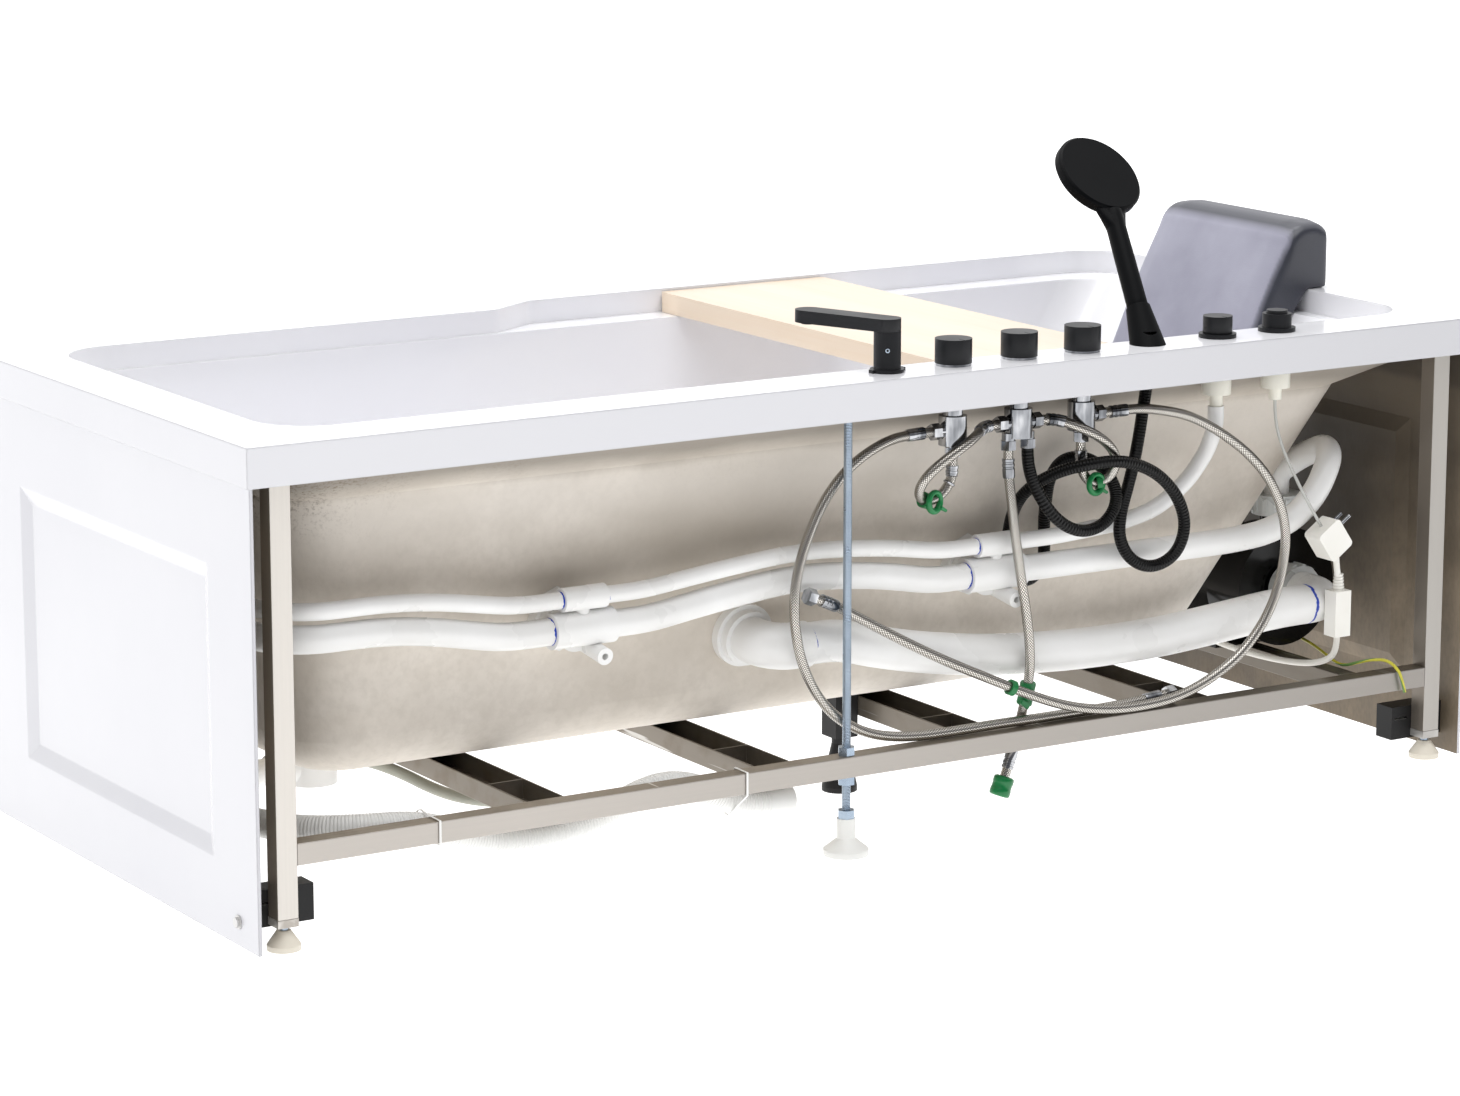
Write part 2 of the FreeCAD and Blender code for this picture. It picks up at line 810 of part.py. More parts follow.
bars.append(square_tube("pump_bar", BAR_LENGTH, ("(pump_x - tube_side / 2)", BAR_Y, "rail_bottom"), 1))
node(group("cross_bars", bars))
node(group("basin_pads", pads))


# Threaded rod under the front deck, its nuts and its foot

node(bar("support_rod", "rod_radius", DECK_UNDER + " - rod_bottom", ("rod_x", ROD_Y, "rod_bottom")))


def ring_nut(label, radius, height, bore, at, turn=UPRIGHT):
    solid = hexagon(label + "_hex", radius, height, at, turn)
    return cut(label, solid, [bar(label + "_bore", bore, height, at, turn)])


rod_levels = (RAIL_TOP, "(rail_bottom - rod_nut_height)", "rod_foot_height")
lock_nuts = [ring_nut("rod_nut_%d" % number, "rod_nut_radius", "rod_nut_height", "rod_radius + running_fit",
                      ("rod_x", ROD_Y, level)) for number, level in enumerate(rod_levels)]
BACK_NUT_Z = DECK_UNDER + " - back_nut_height"
for shank_size, places in (("shank_radius", ("spout_x", "hot_x", "diverter_x", "cold_x")),
                           ("control_shank_radius", ("shower_x", "air_x", "button_x"))):
    for x_text in places:
        lock_nuts.append(ring_nut("back_nut_" + x_text, "back_nut_radius", "back_nut_height",
                                  shank_size + " + running_fit", (x_text, TAP_Y, BACK_NUT_Z)))
node(group("lock_nuts", lock_nuts))

foot_outside = stack("rod_foot_outside", [("rod_foot_radius", "rod_foot_radius", "rod_foot_rim"),
                                          ("rod_foot_radius", "rod_foot_neck", "rod_foot_flare"),
                                          ("rod_foot_neck", "rod_foot_neck",
                                           "(rod_foot_height - rod_foot_rim - rod_foot_flare)")],
                     ("rod_x", ROD_Y, "0"))
foot_bore = bar("rod_foot_bore", "rod_radius + running_fit", "rod_foot_height",
                ("rod_x", ROD_Y, "(rod_bottom - 1)"))
node(cut("rod_foot", foot_outside, [foot_bore]))

for end, x_text in (("left", "(-post_x)"), ("right", "post_x")):
    for side, y_text in (("front", ROD_Y), ("rear", "(rim_width / 2 - frame_setback - tube_side / 2)")):
        node(stack("%s_%s_foot" % (end, side),
                   [("foot_radius", "foot_radius", "foot_rim"),
                    ("foot_radius", "foot_top_radius", "(foot_height - foot_rim)"),
                    ("stud_radius", "stud_radius", "stud_length")], (x_text, y_text, "0")))

leg_block = box("leg_block_body", ("leg_side", "leg_side", "leg_block"),
                ("leg_x - leg_side / 2", "leg_y - leg_side / 2",
                 "floor_height - acrylic_wall - backing_wall - leg_block"))
leg_foot = stack("leg_foot", [("leg_flare", "leg_flare", "foot_rim"),
                              ("leg_flare", "leg_waist", "(leg_foot_height - foot_rim)"),
                              ("leg_waist", "leg_waist",
                               "(floor_height - acrylic_wall - backing_wall - leg_block - leg_foot_height)")],
                 ("leg_x", "leg_y", "0"))
node(fuse("centre_leg", [leg_block, leg_foot]))

catches = []
APRON_INSIDE = "(rim_length / 2 - acrylic_wall - apron_gap - apron_sheet)"
for side, turn in ((-1, ALONG_X), (1, AGAINST_X)):
    x_text = APRON_INSIDE + " - catch_width" if side > 0 else "(-%s)" % APRON_INSIDE
    for face in (-1, 1):
        label = "catch_%d" % len(catches)
        front_y = BAR_Y if face < 0 else "(-%s - catch_depth)" % BAR_Y
        slot_y = front_y if face < 0 else front_y + " + catch_depth / 2"
        block = box(label + "_block", ("catch_width", "catch_depth", "catch_height"),
                    (x_text, front_y, "catch_z"))
        slot = box(label + "_slot", ("catch_width / 4", "catch_depth / 2", "catch_slot"),
                   (x_text + " + catch_width * 0.06", slot_y, "catch_z + catch_height * 0.6"))
        pilot = bar(label + "_pilot", "apron_screw_radius + shank_clearance", "apron_screw_length",
                    ("%d * %s" % (side, APRON_INSIDE), "%d * apron_screw_y" % face, "apron_screw_z"), turn)
        catches.append(cut(label, block, [slot, pilot]))
node(group("panel_catches", catches))


# Spout: a fixed column and a swivelling arm

spout_outside = stack("spout_outside",
                      [("shank_radius", "shank_radius", "(shank_length + acrylic_wall)"),
                       ("spout_flange_radius", "spout_flange_radius", "spout_flange"),
                       ("spout_column_radius", "spout_column_radius", "(spout_column - spout_flange)")],
                      ("spout_x", TAP_Y, "rim_height - acrylic_wall - shank_length"))
spout_ears = box("spout_ears", ("2 * spout_flange_radius + 6", "8", "spout_flange"),
                 ("spout_x - spout_flange_radius - 3", TAP_Y + " - 4", "rim_height"))
spout_socket = bar("spout_socket", "spigot_radius + running_fit", "spigot_depth + 1",
                   ("spout_x", TAP_Y, "rim_height + spout_column - spigot_depth - 1"))
node(cut("spout_base", fuse("spout_solid", [spout_outside, spout_ears]), [spout_socket]))


def make_spout_arm():
    """A flat arm with round ends, its spigot and its outlet, pointing along +X."""
    reach = S.spout_reach
    half = S.spout_column_radius
    low = S.swivel_gap
    arm = Part.makeBox(reach, 2 * half, S.spout_arm_height, Vector(0, -half, low))
    ends = [Part.makeCylinder(half, S.spout_arm_height, Vector(x, 0, low)) for x in (0, reach)]
    spigot = Part.makeCylinder(S.spigot_radius, S.spigot_depth + low, Vector(0, 0, -S.spigot_depth))
    outlet = Part.makeCylinder(S.aerator_radius, S.aerator_height + low, Vector(reach, 0, -S.aerator_height))
    return arm.fuse(ends + [spigot, outlet]).removeSplitter()


TAP_LINE = S.tap_setback - HALF_WIDTH
node(shaped("spout_arm", make_spout_arm(), Vector(S.spout_x, TAP_LINE, S.rim_height + S.spout_column),
            Rotation(Z_AXIS, S.spout_heading)))


# Three tap valves under the deck and their knobs

VALVE_BOTTOM = "(rim_height - valve_top_drop - valve_height)"
PORT_Z = "(rim_height - valve_top_drop - valve_height / 2)"
taps = []
for name, x_text in (("hot", "hot_x"), ("diverter", "diverter_x"), ("cold", "cold_x")):
    spindle = stack(name + "_spindle",
                    [("valve_radius", "valve_radius", "valve_height"),
                     ("shank_radius", "shank_radius", "valve_top_drop"),
                     ("knob_ring_radius", "knob_ring_radius", "knob_ring"),
                     ("stem_radius", "stem_radius", "stem_height")],
                    (x_text, TAP_Y, VALVE_BOTTOM))
    pieces = [spindle]
    if name != "cold":
        pieces.append(bar(name + "_left_port", "port_radius", "valve_radius + port_length",
                          (x_text, TAP_Y, PORT_Z), AGAINST_X))
    if name != "hot":
        pieces.append(bar(name + "_right_port", "port_radius", "valve_radius + port_length",
                          (x_text, TAP_Y, PORT_Z), ALONG_X))
    drops = (" - shower_port_offset", " + shower_port_offset") if name == "diverter" else ("",)
    for number, shift in enumerate(drops):
        pieces.append(bar("%s_lower_port_%d" % (name, number), "port_radius", "port_length + 6",
                          (x_text + shift, TAP_Y, VALVE_BOTTOM + " - port_length")))
    taps.append(fuse(name + "_valve", pieces))
    knob_z = "(rim_height + knob_ring + swivel_gap)"
    knob_body = bar(name + "_knob_body", "knob_radius", "knob_height", (x_text, TAP_Y, knob_z))
    knob_bore = bar(name + "_knob_bore", "stem_radius + running_fit", "stem_height + swivel_gap",
                    (x_text, TAP_Y, knob_z))
    knob_mark = box(name + "_knob_mark", ("1.2", "knob_radius / 2", "1"),
                    (x_text + " - 0.6", TAP_Y + " - knob_radius", knob_z + " + knob_height - 1"))
    node(cut(name + "_knob", knob_body, [knob_bore, knob_mark]))
node(group("tap_valves", taps))


# Air control and pneumatic button

bases = []
for name, x_text in (("air", "air_x"), ("button", "button_x")):
    below = "(control_drop - control_body_height)"
    outside = stack(name + "_base_outside",
                    [("control_spigot_radius", "control_spigot_radius", "control_spigot"),
                     ("control_body_radius", "control_body_radius", "control_body_height"),
                     ("control_shank_radius", "control_shank_radius", below + " + acrylic_wall"),
                     ("control_flange_radius", "control_flange_radius", "control_flange")],
                    (x_text, TAP_Y, "(rim_height - acrylic_wall - control_drop - control_spigot)"))
    top = "(rim_height + control_flange)"
    if name == "air":
        stem = bar("air_stem", "stem_radius", "stem_height - 4", (x_text, TAP_Y, top))
        bases.append(fuse("air_base", [outside, stem]))
        knob = bar("air_knob_body", "control_knob_radius", "control_knob_height",
                   (x_text, TAP_Y, top + " + swivel_gap"))
        bore = bar("air_knob_bore", "stem_radius + running_fit", "stem_height - 4",
                   (x_text, TAP_Y, top + " + swivel_gap"))
        mark = box("air_knob_mark", ("1.2", "control_knob_radius / 2", "1"),
                   (x_text + " - 0.6", TAP_Y + " - control_knob_radius",
                    top + " + swivel_gap + control_knob_height - 1"))
        node(cut("air_knob", knob, [bore, mark]))
    else:
        collar = bar("button_collar", "control_knob_radius", "control_knob_height - button_travel",
                     (x_text, TAP_Y, top))
        well = bar("button_well", "button_cap_radius + swivel_gap", "button_cap_height + button_travel",
                   (x_text, TAP_Y, top + " + control_knob_height - button_cap_height - button_travel"))
        guide = bar("button_guide", "button_stem_radius + running_fit", "control_knob_height",
                    (x_text, TAP_Y, "rim_height - button_travel"))
        bases.append(cut("button_base", fuse("button_solid", [outside, collar]), [well, guide]))
        cap = bar("button_cap", "button_cap_radius", "button_cap_height",
                  (x_text, TAP_Y, top + " + control_knob_height - button_cap_height"))
        guide_pin = bar("button_pin", "button_stem_radius", "control_knob_height - button_cap_height",
                        (x_text, TAP_Y, top))
        node(fuse("jet_button", [cap, guide_pin]))
node(group("control_bases", bases))


# Hand shower and its leaning holder

LEAN = math.radians(S.shower_lean)
HEADING = math.radians(S.shower_heading)
HANDLE_AXIS = Vector(math.sin(LEAN) * math.cos(HEADING), math.sin(LEAN) * math.sin(HEADING), math.cos(LEAN))
SHOWER_FOOT = Vector(S.shower_x, TAP_LINE, S.rim_height)
SHOWER_TURN = Rotation(Z_AXIS, S.shower_heading).multiply(Rotation(Y_AXIS, S.shower_lean))
SHOWER_TURN = SHOWER_TURN.multiply(Rotation(Z_AXIS, S.shower_roll))


def make_holder():
    base = Part.Wire([Part.makeCircle(S.holder_base_radius, SHOWER_FOOT, Z_AXIS)])
    crown = SHOWER_FOOT + HANDLE_AXIS * S.holder_height
    top = Part.Wire([Part.makeCircle(S.holder_top_radius, crown, HANDLE_AXIS)])
    cone = Part.makeLoft([base, top], True, True)
    shank = Part.makeCylinder(S.control_shank_radius, S.shank_length, SHOWER_FOOT - Z_AXIS * S.shank_length)
    seat = SHOWER_FOOT + HANDLE_AXIS * (S.handle_start - 10)
    bore = Part.makeCylinder(S.holder_bore, S.holder_height, seat, HANDLE_AXIS)
    throat = Part.makeCylinder(S.holder_throat, S.shank_length + S.handle_start,
                               SHOWER_FOOT - Z_AXIS * S.shank_length)
    return cone.fuse(shank).cut([bore, throat]).removeSplitter()


def make_hand_shower():
    """Handle along +Z from its foot, head leaning over towards +X."""
    shoulder = S.holder_height + S.swivel_gap
    tail = Part.makeCylinder(S.tail_radius, shoulder - S.handle_start, Vector(0, 0, S.handle_start))
    grip = Part.makeCone(S.handle_radius, S.handle_neck_radius, S.handle_start + S.handle_length - shoulder,
                         Vector(0, 0, shoulder))
    neck_z = S.handle_start + S.handle_length
    tilt = math.radians(S.head_tilt)
    reach = Vector(math.sin(tilt), 0, math.cos(tilt))
    face = Vector(math.cos(tilt), 0, -math.sin(tilt))
    centre = Vector(0, 0, neck_z) + reach * S.head_offset
    head = Part.makeCylinder(S.head_radius, S.head_thickness, centre - face * (S.head_thickness / 2), face)
    head = head.makeChamfer(S.head_thickness / 5, [edge for edge in head.Edges if edge.Closed])
    waist = Part.Wire([Part.makeCircle(S.handle_neck_radius, Vector(0, 0, neck_z - S.collar_drop), Z_AXIS)])
    spread = Part.Ellipse(Vector(0, 0, 0), S.collar_half_width, S.collar_half_depth).toShape()
    spread.Placement = Placement(centre - reach * S.collar_reach, Rotation(Y_AXIS, face * -1, reach, "XYZ"))
    collar = Part.makeLoft([waist, Part.Wire([spread])], True)
    plate_seat = centre + face * (S.head_thickness / 2)
    return tail.fuse([grip, head, collar]).removeSplitter(), plate_seat, face


SHOWER_SOLID, PLATE_SEAT, PLATE_FACE = make_hand_shower()
node(shaped("shower_holder", make_holder()))
node(shaped("hand_shower", SHOWER_SOLID, SHOWER_FOOT, SHOWER_TURN))
node(shaped("spray_plate", Part.makeCylinder(S.spray_plate_radius, S.spray_plate, PLATE_SEAT, PLATE_FACE),
            SHOWER_FOOT, SHOWER_TURN))


# Headrest hooked over the rim, and the bath board on the ledges

def backrest_x(height):
    run = (S.basin_head_x - S.floor_head_x) / (LEDGE_Z - S.floor_height)
    return S.floor_head_x + run * (height - S.floor_height)


def headrest_profile(y, inset):
    """The headrest's section; its open sides draw in by an inset, its seat stays."""
    seat = S.rim_height + S.headrest_gap
    deck_edge = HALF_LENGTH - S.head_deck - 1
    back_x = HALF_LENGTH - 2 - inset
    top = S.headrest_top - inset
    lip = S.headrest_lip_z
    slope_gap = 2 * S.headrest_gap + 1
    low_x = backrest_x(lip) - slope_gap
    ledge = Vector(backrest_x(LEDGE_Z) - slope_gap, y, LEDGE_Z + S.headrest_gap)
    shoulder = Vector(back_x, y, top - 12)
    crest = Vector(S.rim_length / 2 - 35, y, top)
    brow = Vector(S.rim_length / 2 - 77 + inset, y, top - 26)
    chin = Vector(low_x - 23 + inset, y, lip + 25)
    face = (brow + chin) * 0.5 + Vector(inset / 2 - S.headrest_crown, 0, 0)
    lines = [Vector(low_x, y, lip), ledge, Vector(deck_edge, y, seat), Vector(back_x, y, seat), shoulder]
    edges = [Part.LineSegment(a, b).toShape() for a, b in zip(lines, lines[1:])]
    edges.append(Part.Arc(shoulder, Vector(back_x - 11, y, top - 3), crest).toShape())
    edges.append(Part.Arc(crest, (crest + brow) * 0.5 + Vector(-5, 0, 7), brow).toShape())
    edges.append(Part.Arc(brow, face, chin).toShape())
    edges.append(Part.Arc(chin, Vector(low_x - 17 + inset / 2, y, lip + 6), Vector(low_x, y, lip)).toShape())
    return Part.Wire(edges)


def make_headrest():
    width = S.headrest_back_y - S.headrest_front_y
    shares = ((0.0, S.headrest_drawn_in), (0.03, S.headrest_drawn_in / 3), (0.12, 0.0),
              (0.88, 0.0), (0.97, S.headrest_drawn_in / 3), (1.0, S.headrest_drawn_in))
    wires = [headrest_profile(S.headrest_front_y + share * width, inset) for share, inset in shares]
    return Part.makeLoft(wires, True, True)


node(shaped("headrest", make_headrest()))


def make_board():
    low_y = -HALF_WIDTH + S.front_deck + S.board_play
    high_y = HALF_WIDTH - S.back_deck - S.board_play
    board = Part.makeBox(S.board_width, high_y - low_y, S.board_thickness,
                         Vector(S.board_x, low_y, LEDGE_Z + S.board_gap))
    upright = [edge for edge in board.Edges if edge.BoundBox.ZLength > S.board_thickness / 2]
    return board.makeFillet(S.board_edge, upright)


node(shaped("bath_board", make_board()))


# Jets: bodies with a water tee and an air tee, and the nozzles inside

def make_jet_body():
    """Along +Z away from the wall, +Y up, tees along X."""
    wall = wall_thickness(S.jet_z)
    neck = Part.makeCylinder(S.jet_neck_radius, wall, Vector(0, 0, -wall))
    lobes = [Rotation(Z_AXIS, 45 * turn).multVec(Vector(S.jet_nut_radius, 0, 0)) for turn in range(9)]
    nut = Part.Face(Part.makePolygon(lobes)).extrude(Vector(0, 0, S.jet_nut))
    collar = Part.makeCylinder(S.jet_collar_radius, S.jet_collar)
    barrel = Part.makeCylinder(S.jet_barrel_radius, S.tee_offset - S.jet_barrel_short)
    water = Part.makeCylinder(S.water_tee_radius, S.water_tee_length,
                              Vector(-S.water_tee_length / 2, S.water_tee_rise, S.tee_offset), X_AXIS)
    air = Part.makeCylinder(S.air_tee_radius, S.air_tee_length,
                            Vector(-S.air_tee_length / 2, S.air_tee_rise, S.tee_offset), X_AXIS)
    web = Part.makeCylinder(S.tee_web_radius, S.air_tee_rise, Vector(0, 0, S.tee_offset), Y_AXIS)
    port = Part.makeCylinder(S.jet_port_radius, S.jet_port_end - S.jet_port_start,
                             Vector(S.jet_port_shift, -S.jet_port_drop, S.jet_port_start))
    port_bore = Part.makeCylinder(S.jet_port_bore, S.jet_port_depth,
                                  Vector(S.jet_port_shift, -S.jet_port_drop,
                                         S.jet_port_end - S.jet_port_depth))
    bore = Part.makeCylinder(S.jet_bore, wall + S.tee_offset - S.jet_bore_short, Vector(0, 0, -wall))
    water_bore = Part.makeCylinder(S.water_pipe_radius - S.pipe_wall, S.water_tee_length,
                                   Vector(-S.water_tee_length / 2, S.water_tee_rise, S.tee_offset), X_AXIS)
    air_bore = Part.makeCylinder(S.air_pipe_radius - S.pipe_wall, S.air_tee_length,
                                 Vector(-S.air_tee_length / 2, S.air_tee_rise, S.tee_offset), X_AXIS)
    solid = neck.fuse([nut, collar, barrel, water, air, web, port])
    return solid.cut([bore, water_bore, air_bore, port_bore]).removeSplitter()


def make_nozzle():
    """A round bezel on the basin's inside, with a stub that turns in the jet's neck."""
    wall = wall_thickness(S.jet_z)
    seat = -wall - S.swivel_gap
    bezel = Part.makeCone(S.nozzle_radius - S.nozzle_bevel, S.nozzle_radius, S.nozzle_thickness,
                          Vector(0, 0, seat - S.nozzle_thickness))
    stub = Part.makeCylinder(S.jet_bore - S.running_fit, wall, Vector(0, 0, seat))
    eye = Part.makeCylinder(S.nozzle_eye_radius, wall + S.nozzle_thickness,
                            Vector(S.nozzle_eye_shift, 0, seat - S.nozzle_thickness))
    return bezel.fuse(stub).cut(eye).removeSplitter()


JET_BODY = make_jet_body()
NOZZLE = make_nozzle()
jets = []
for name, x, side in JETS:
    seat = wall_point(x, S.jet_z, side)
    jets.append(shaped(name + "_jet", JET_BODY, seat, wall_turn(side)))
    node(shaped(name + "_nozzle", NOZZLE, seat, wall_turn(side)))
node(group("jet_bodies", jets))


# Water and air lines from tee to tee, round the foot end to the back

def tee_end(x, side, rise, half_length, heading):
    """The middle of a tee's end face; heading is -1 to the foot end, 1 to the head end."""
    local = Vector(0, rise, S.tee_offset)
    point = wall_point(x, S.jet_z, side) + wall_turn(side).multVec(local)
    return Vector(x + heading * half_length, point.y, point.z)


def between(start, finish, arch):
    """A run from tee to tee that bows up a little."""
    shares = ((0.0, 0.0), (0.1, 0.0), (0.3, 0.55), (0.52, 1.0), (0.74, 0.6), (0.9, 0.0), (1.0, 0.0))
    return [start + (finish - start) * share + Vector(0, 0, arch * rise) for share, rise in shares]


def round_the_foot(front, back, arch):
    """From a front tee along the foot end to the tee behind it, a little higher on the way."""
    lift = Vector(0, 0, arch)
    corners = [Vector(S.pipe_side_x, end.y, end.z + arch) for end in (front, back)]
    return [front, front - X_AXIS * 60, front - X_AXIS * 190 + lift, corners[0],
            corners[1], back - X_AXIS * 190 + lift, back - X_AXIS * 60, back]


def make_line(rise, half_length, radius, arch, source):
    """All stretches of one line; source is its route from the pump or the air control."""
    front_foot = [tee_end(S.foot_jet_x, -1, rise, half_length, end) for end in (-1, 1)]
    front_head = [tee_end(S.head_jet_x, -1, rise, half_length, end) for end in (-1, 1)]
    back_foot = [tee_end(S.foot_jet_x, 1, rise, half_length, end) for end in (-1, 1)]
    back_head = [tee_end(S.head_jet_x, 1, rise, half_length, end) for end in (-1, 1)]
    first = front_head[1]
    stretches = [[Vector(*point) for point in source] + [first + X_AXIS * 60, first],
                 between(front_foot[1], front_head[0], arch),
                 round_the_foot(front_foot[0], back_foot[0], arch),
                 between(back_foot[1], back_head[0], arch)]
    solids = [pipe(points, radius, S.pipe_wall) for points in stretches]
    stop = Part.makeCylinder(radius, 3 * S.pipe_wall, back_head[1], X_AXIS)
    return Part.makeCompound(solids + [stop])


OUTLET_X = S.pump_x - S.outlet_offset
OUTLET_Y = S.pump_face_y + 27
OUTLET_TOP = S.pump_z + S.outlet_height + S.union_length
CONTROL_FOOT = S.rim_height - S.acrylic_wall - S.control_drop - S.control_spigot
WATER_SOURCE = [(OUTLET_X, OUTLET_Y, OUTLET_TOP), (OUTLET_X, OUTLET_Y, OUTLET_TOP + 26),
                (706, -232, 376), (704, -284, 398), (684, -318, 390), (656, -330, 354), (622, -329, 322),
                (575, -328, 307), (520, -327, 303), (400, -327, 303)]
AIR_SOURCE = [(S.air_x, TAP_LINE, CONTROL_FOOT), (S.air_x, TAP_LINE, CONTROL_FOOT - 24), (470, -345, 425),
              (448, -338, 390), (405, -334, 358), (350, -332, 345)]
node(shaped("water_line", make_line(S.water_tee_rise, S.water_tee_length / 2, S.water_pipe_radius, 26,
                                    WATER_SOURCE)))
node(shaped("air_line", make_line(S.air_tee_rise, S.air_tee_length / 2, S.air_pipe_radius, 22, AIR_SOURCE)))


# Suction fitting on the wall, and its pipe to the pump

def make_suction_fitting():
    """Along +Z from the wall, then an elbow to +X."""
    wall = wall_thickness(S.suction_z)
    inside = Part.makeCylinder(S.suction_flange_radius, S.nozzle_thickness,
                               Vector(0, 0, -wall - S.swivel_gap - S.nozzle_thickness))
    neck = Part.makeCylinder(S.suction_barrel_radius, wall + S.swivel_gap, Vector(0, 0, -wall - S.swivel_gap))
    flange = Part.makeCylinder(S.suction_flange_radius, S.suction_flange)
    collar = Part.makeCylinder(S.suction_collar_radius, S.suction_collar)
    low = -wall - S.swivel_gap - S.nozzle_thickness
    turn = [Vector(0, 0, 0), Vector(0, 0, S.suction_exit_offset),
            Vector(S.suction_exit, 0, S.suction_exit_offset)]
    elbow = sweep(rounded_edges(turn, [0, S.suction_bend, 0]), S.suction_pipe_radius + S.pipe_wall)
    bore_turn = [Vector(0, 0, low)] + turn[1:]
    bore = sweep(rounded_edges(bore_turn, [0, S.suction_bend, 0]), S.suction_pipe_radius - S.pipe_wall)
    return inside.fuse([neck, flange, collar, elbow]).cut(bore).removeSplitter()


SUCTION_SEAT = wall_point(S.suction_x, S.suction_z, -1)
node(shaped("suction_fitting", make_suction_fitting(), SUCTION_SEAT, wall_turn(-1)))
SUCTION_START = SUCTION_SEAT + wall_turn(-1).multVec(Vector(S.suction_exit, 0, S.suction_exit_offset))
INLET_FACE = S.pump_face_y - S.inlet_length - S.union_length
SUCTION_ROUTE = [SUCTION_START, SUCTION_START + Vector(42, 0, 0)]
SUCTION_ROUTE += [Vector(x, SUCTION_START.y, z)
                  for x, z in ((40, 221), (160, 201), (300, 192), (420, 193), (520, 201),
                               (S.pump_x - 88, S.pump_z), (S.pump_x, S.pump_z))]
SUCTION_ROUTE += [Vector(S.pump_x, INLET_FACE, S.pump_z)]


def make_suction_pipe():
    radii = corner_radii(SUCTION_ROUTE)
    radii[-2] = S.suction_elbow_radius
    edges = rounded_edges(SUCTION_ROUTE, radii)
    return sweep(edges, S.suction_pipe_radius).cut(sweep(edges, S.suction_pipe_radius - S.pipe_wall))


node(shaped("suction_pipe", make_suction_pipe()))


# Pump: volute, motor, impeller on its shaft, union nuts and shelf

PUMP_FACE = Vector(S.pump_x, S.pump_face_y, S.pump_z)
VOLUTE_BACK = S.pump_face_y + S.volute_depth


def make_volute():
    case = Part.makeCylinder(S.volute_radius, S.volute_depth, PUMP_FACE, Y_AXIS)
    inlet = Part.makeCylinder(S.inlet_radius, S.inlet_length, PUMP_FACE - Y_AXIS * S.inlet_length, Y_AXIS)
    outlet_foot = Vector(OUTLET_X, OUTLET_Y, S.pump_z)
    outlet = Part.makeCylinder(S.outlet_radius, S.outlet_height, outlet_foot)
    chamber = Part.makeCylinder(S.volute_radius - S.volute_wall, S.volute_depth - 2 * S.volute_wall,
                                PUMP_FACE + Y_AXIS * S.volute_wall, Y_AXIS)
    inlet_hole = Part.makeCylinder(S.inlet_bore, S.inlet_length + S.volute_wall,
                                   PUMP_FACE - Y_AXIS * S.inlet_length, Y_AXIS)
    outlet_hole = Part.makeCylinder(S.outlet_bore, S.outlet_height, outlet_foot)
    shaft_hole = Part.makeCylinder(S.shaft_radius + S.running_fit, S.volute_wall,
                                   Vector(S.pump_x, VOLUTE_BACK - S.volute_wall, S.pump_z), Y_AXIS)
    solid = case.fuse([inlet, outlet])
    return solid.cut([chamber, inlet_hole, outlet_hole, shaft_hole]).removeSplitter()


def make_motor():
    start = Vector(S.pump_x, VOLUTE_BACK, S.pump_z)
    body = Part.makeCylinder(S.motor_radius, S.motor_length, start, Y_AXIS)
    fins = []
    for number in range(int(S.motor_fins)):
        angle = 2 * math.pi * number / S.motor_fins
        fin = Part.makeBox(S.motor_fin, S.motor_length - 60, S.motor_radius + S.motor_fin,
                           Vector(-S.motor_fin / 2, VOLUTE_BACK + 30, 0))
        fin.Placement = Placement(Vector(S.pump_x, 0, S.pump_z), Rotation(Y_AXIS, math.degrees(angle)))
        fins.append(fin)
    box_side = 60
    terminal = Part.makeBox(box_side, box_side, 34, Vector(S.pump_x - box_side / 2, VOLUTE_BACK + 60,
                                                           S.pump_z + S.motor_radius - 8))
    base_z = S.rail_bottom + S.tube_side
    base = Part.makeBox(S.motor_base_width, S.motor_base_length, S.pump_z - base_z,
                        Vector(S.pump_x - S.motor_base_width / 2, VOLUTE_BACK + 5, base_z))
    gland = Part.makeCylinder(S.gland_radius, S.gland_length,
                              Vector(S.pump_x, S.gland_y, S.pump_z - S.gland_drop), Vector(-1, 0, 0))
    bearing = Part.makeCylinder(S.shaft_radius + S.running_fit, S.motor_length - 40, start, Y_AXIS)
    return body.fuse(fins + [terminal, base, gland]).cut(bearing).removeSplitter()


def make_impeller():
    """Vaned disc and shaft along +Y, from the hub's nose."""
    hub_z = S.volute_wall + S.impeller_clearance
    hub = Part.makeCylinder(S.impeller_hub, S.impeller_height, Vector(0, hub_z, 0), Y_AXIS)
    disc = Part.makeCylinder(S.impeller_radius, S.impeller_disc,
                             Vector(0, hub_z + S.impeller_height - S.impeller_disc, 0), Y_AXIS)
    shaft_length = S.volute_depth - hub_z + S.motor_length - 60
    shaft = Part.makeCylinder(S.shaft_radius, shaft_length, Vector(0, hub_z, 0), Y_AXIS)
    vanes = []
    for number in range(int(S.vanes)):
        vane = Part.makeBox(S.impeller_radius - S.impeller_hub / 2, S.impeller_height - 4, S.vane_thickness,
                            Vector(S.impeller_hub / 2, hub_z + 4, -S.vane_thickness / 2))
        vane.rotate(Vector(), Y_AXIS, 360.0 * number / S.vanes)
        vanes.append(vane)
    return hub.fuse([disc, shaft] + vanes).removeSplitter()


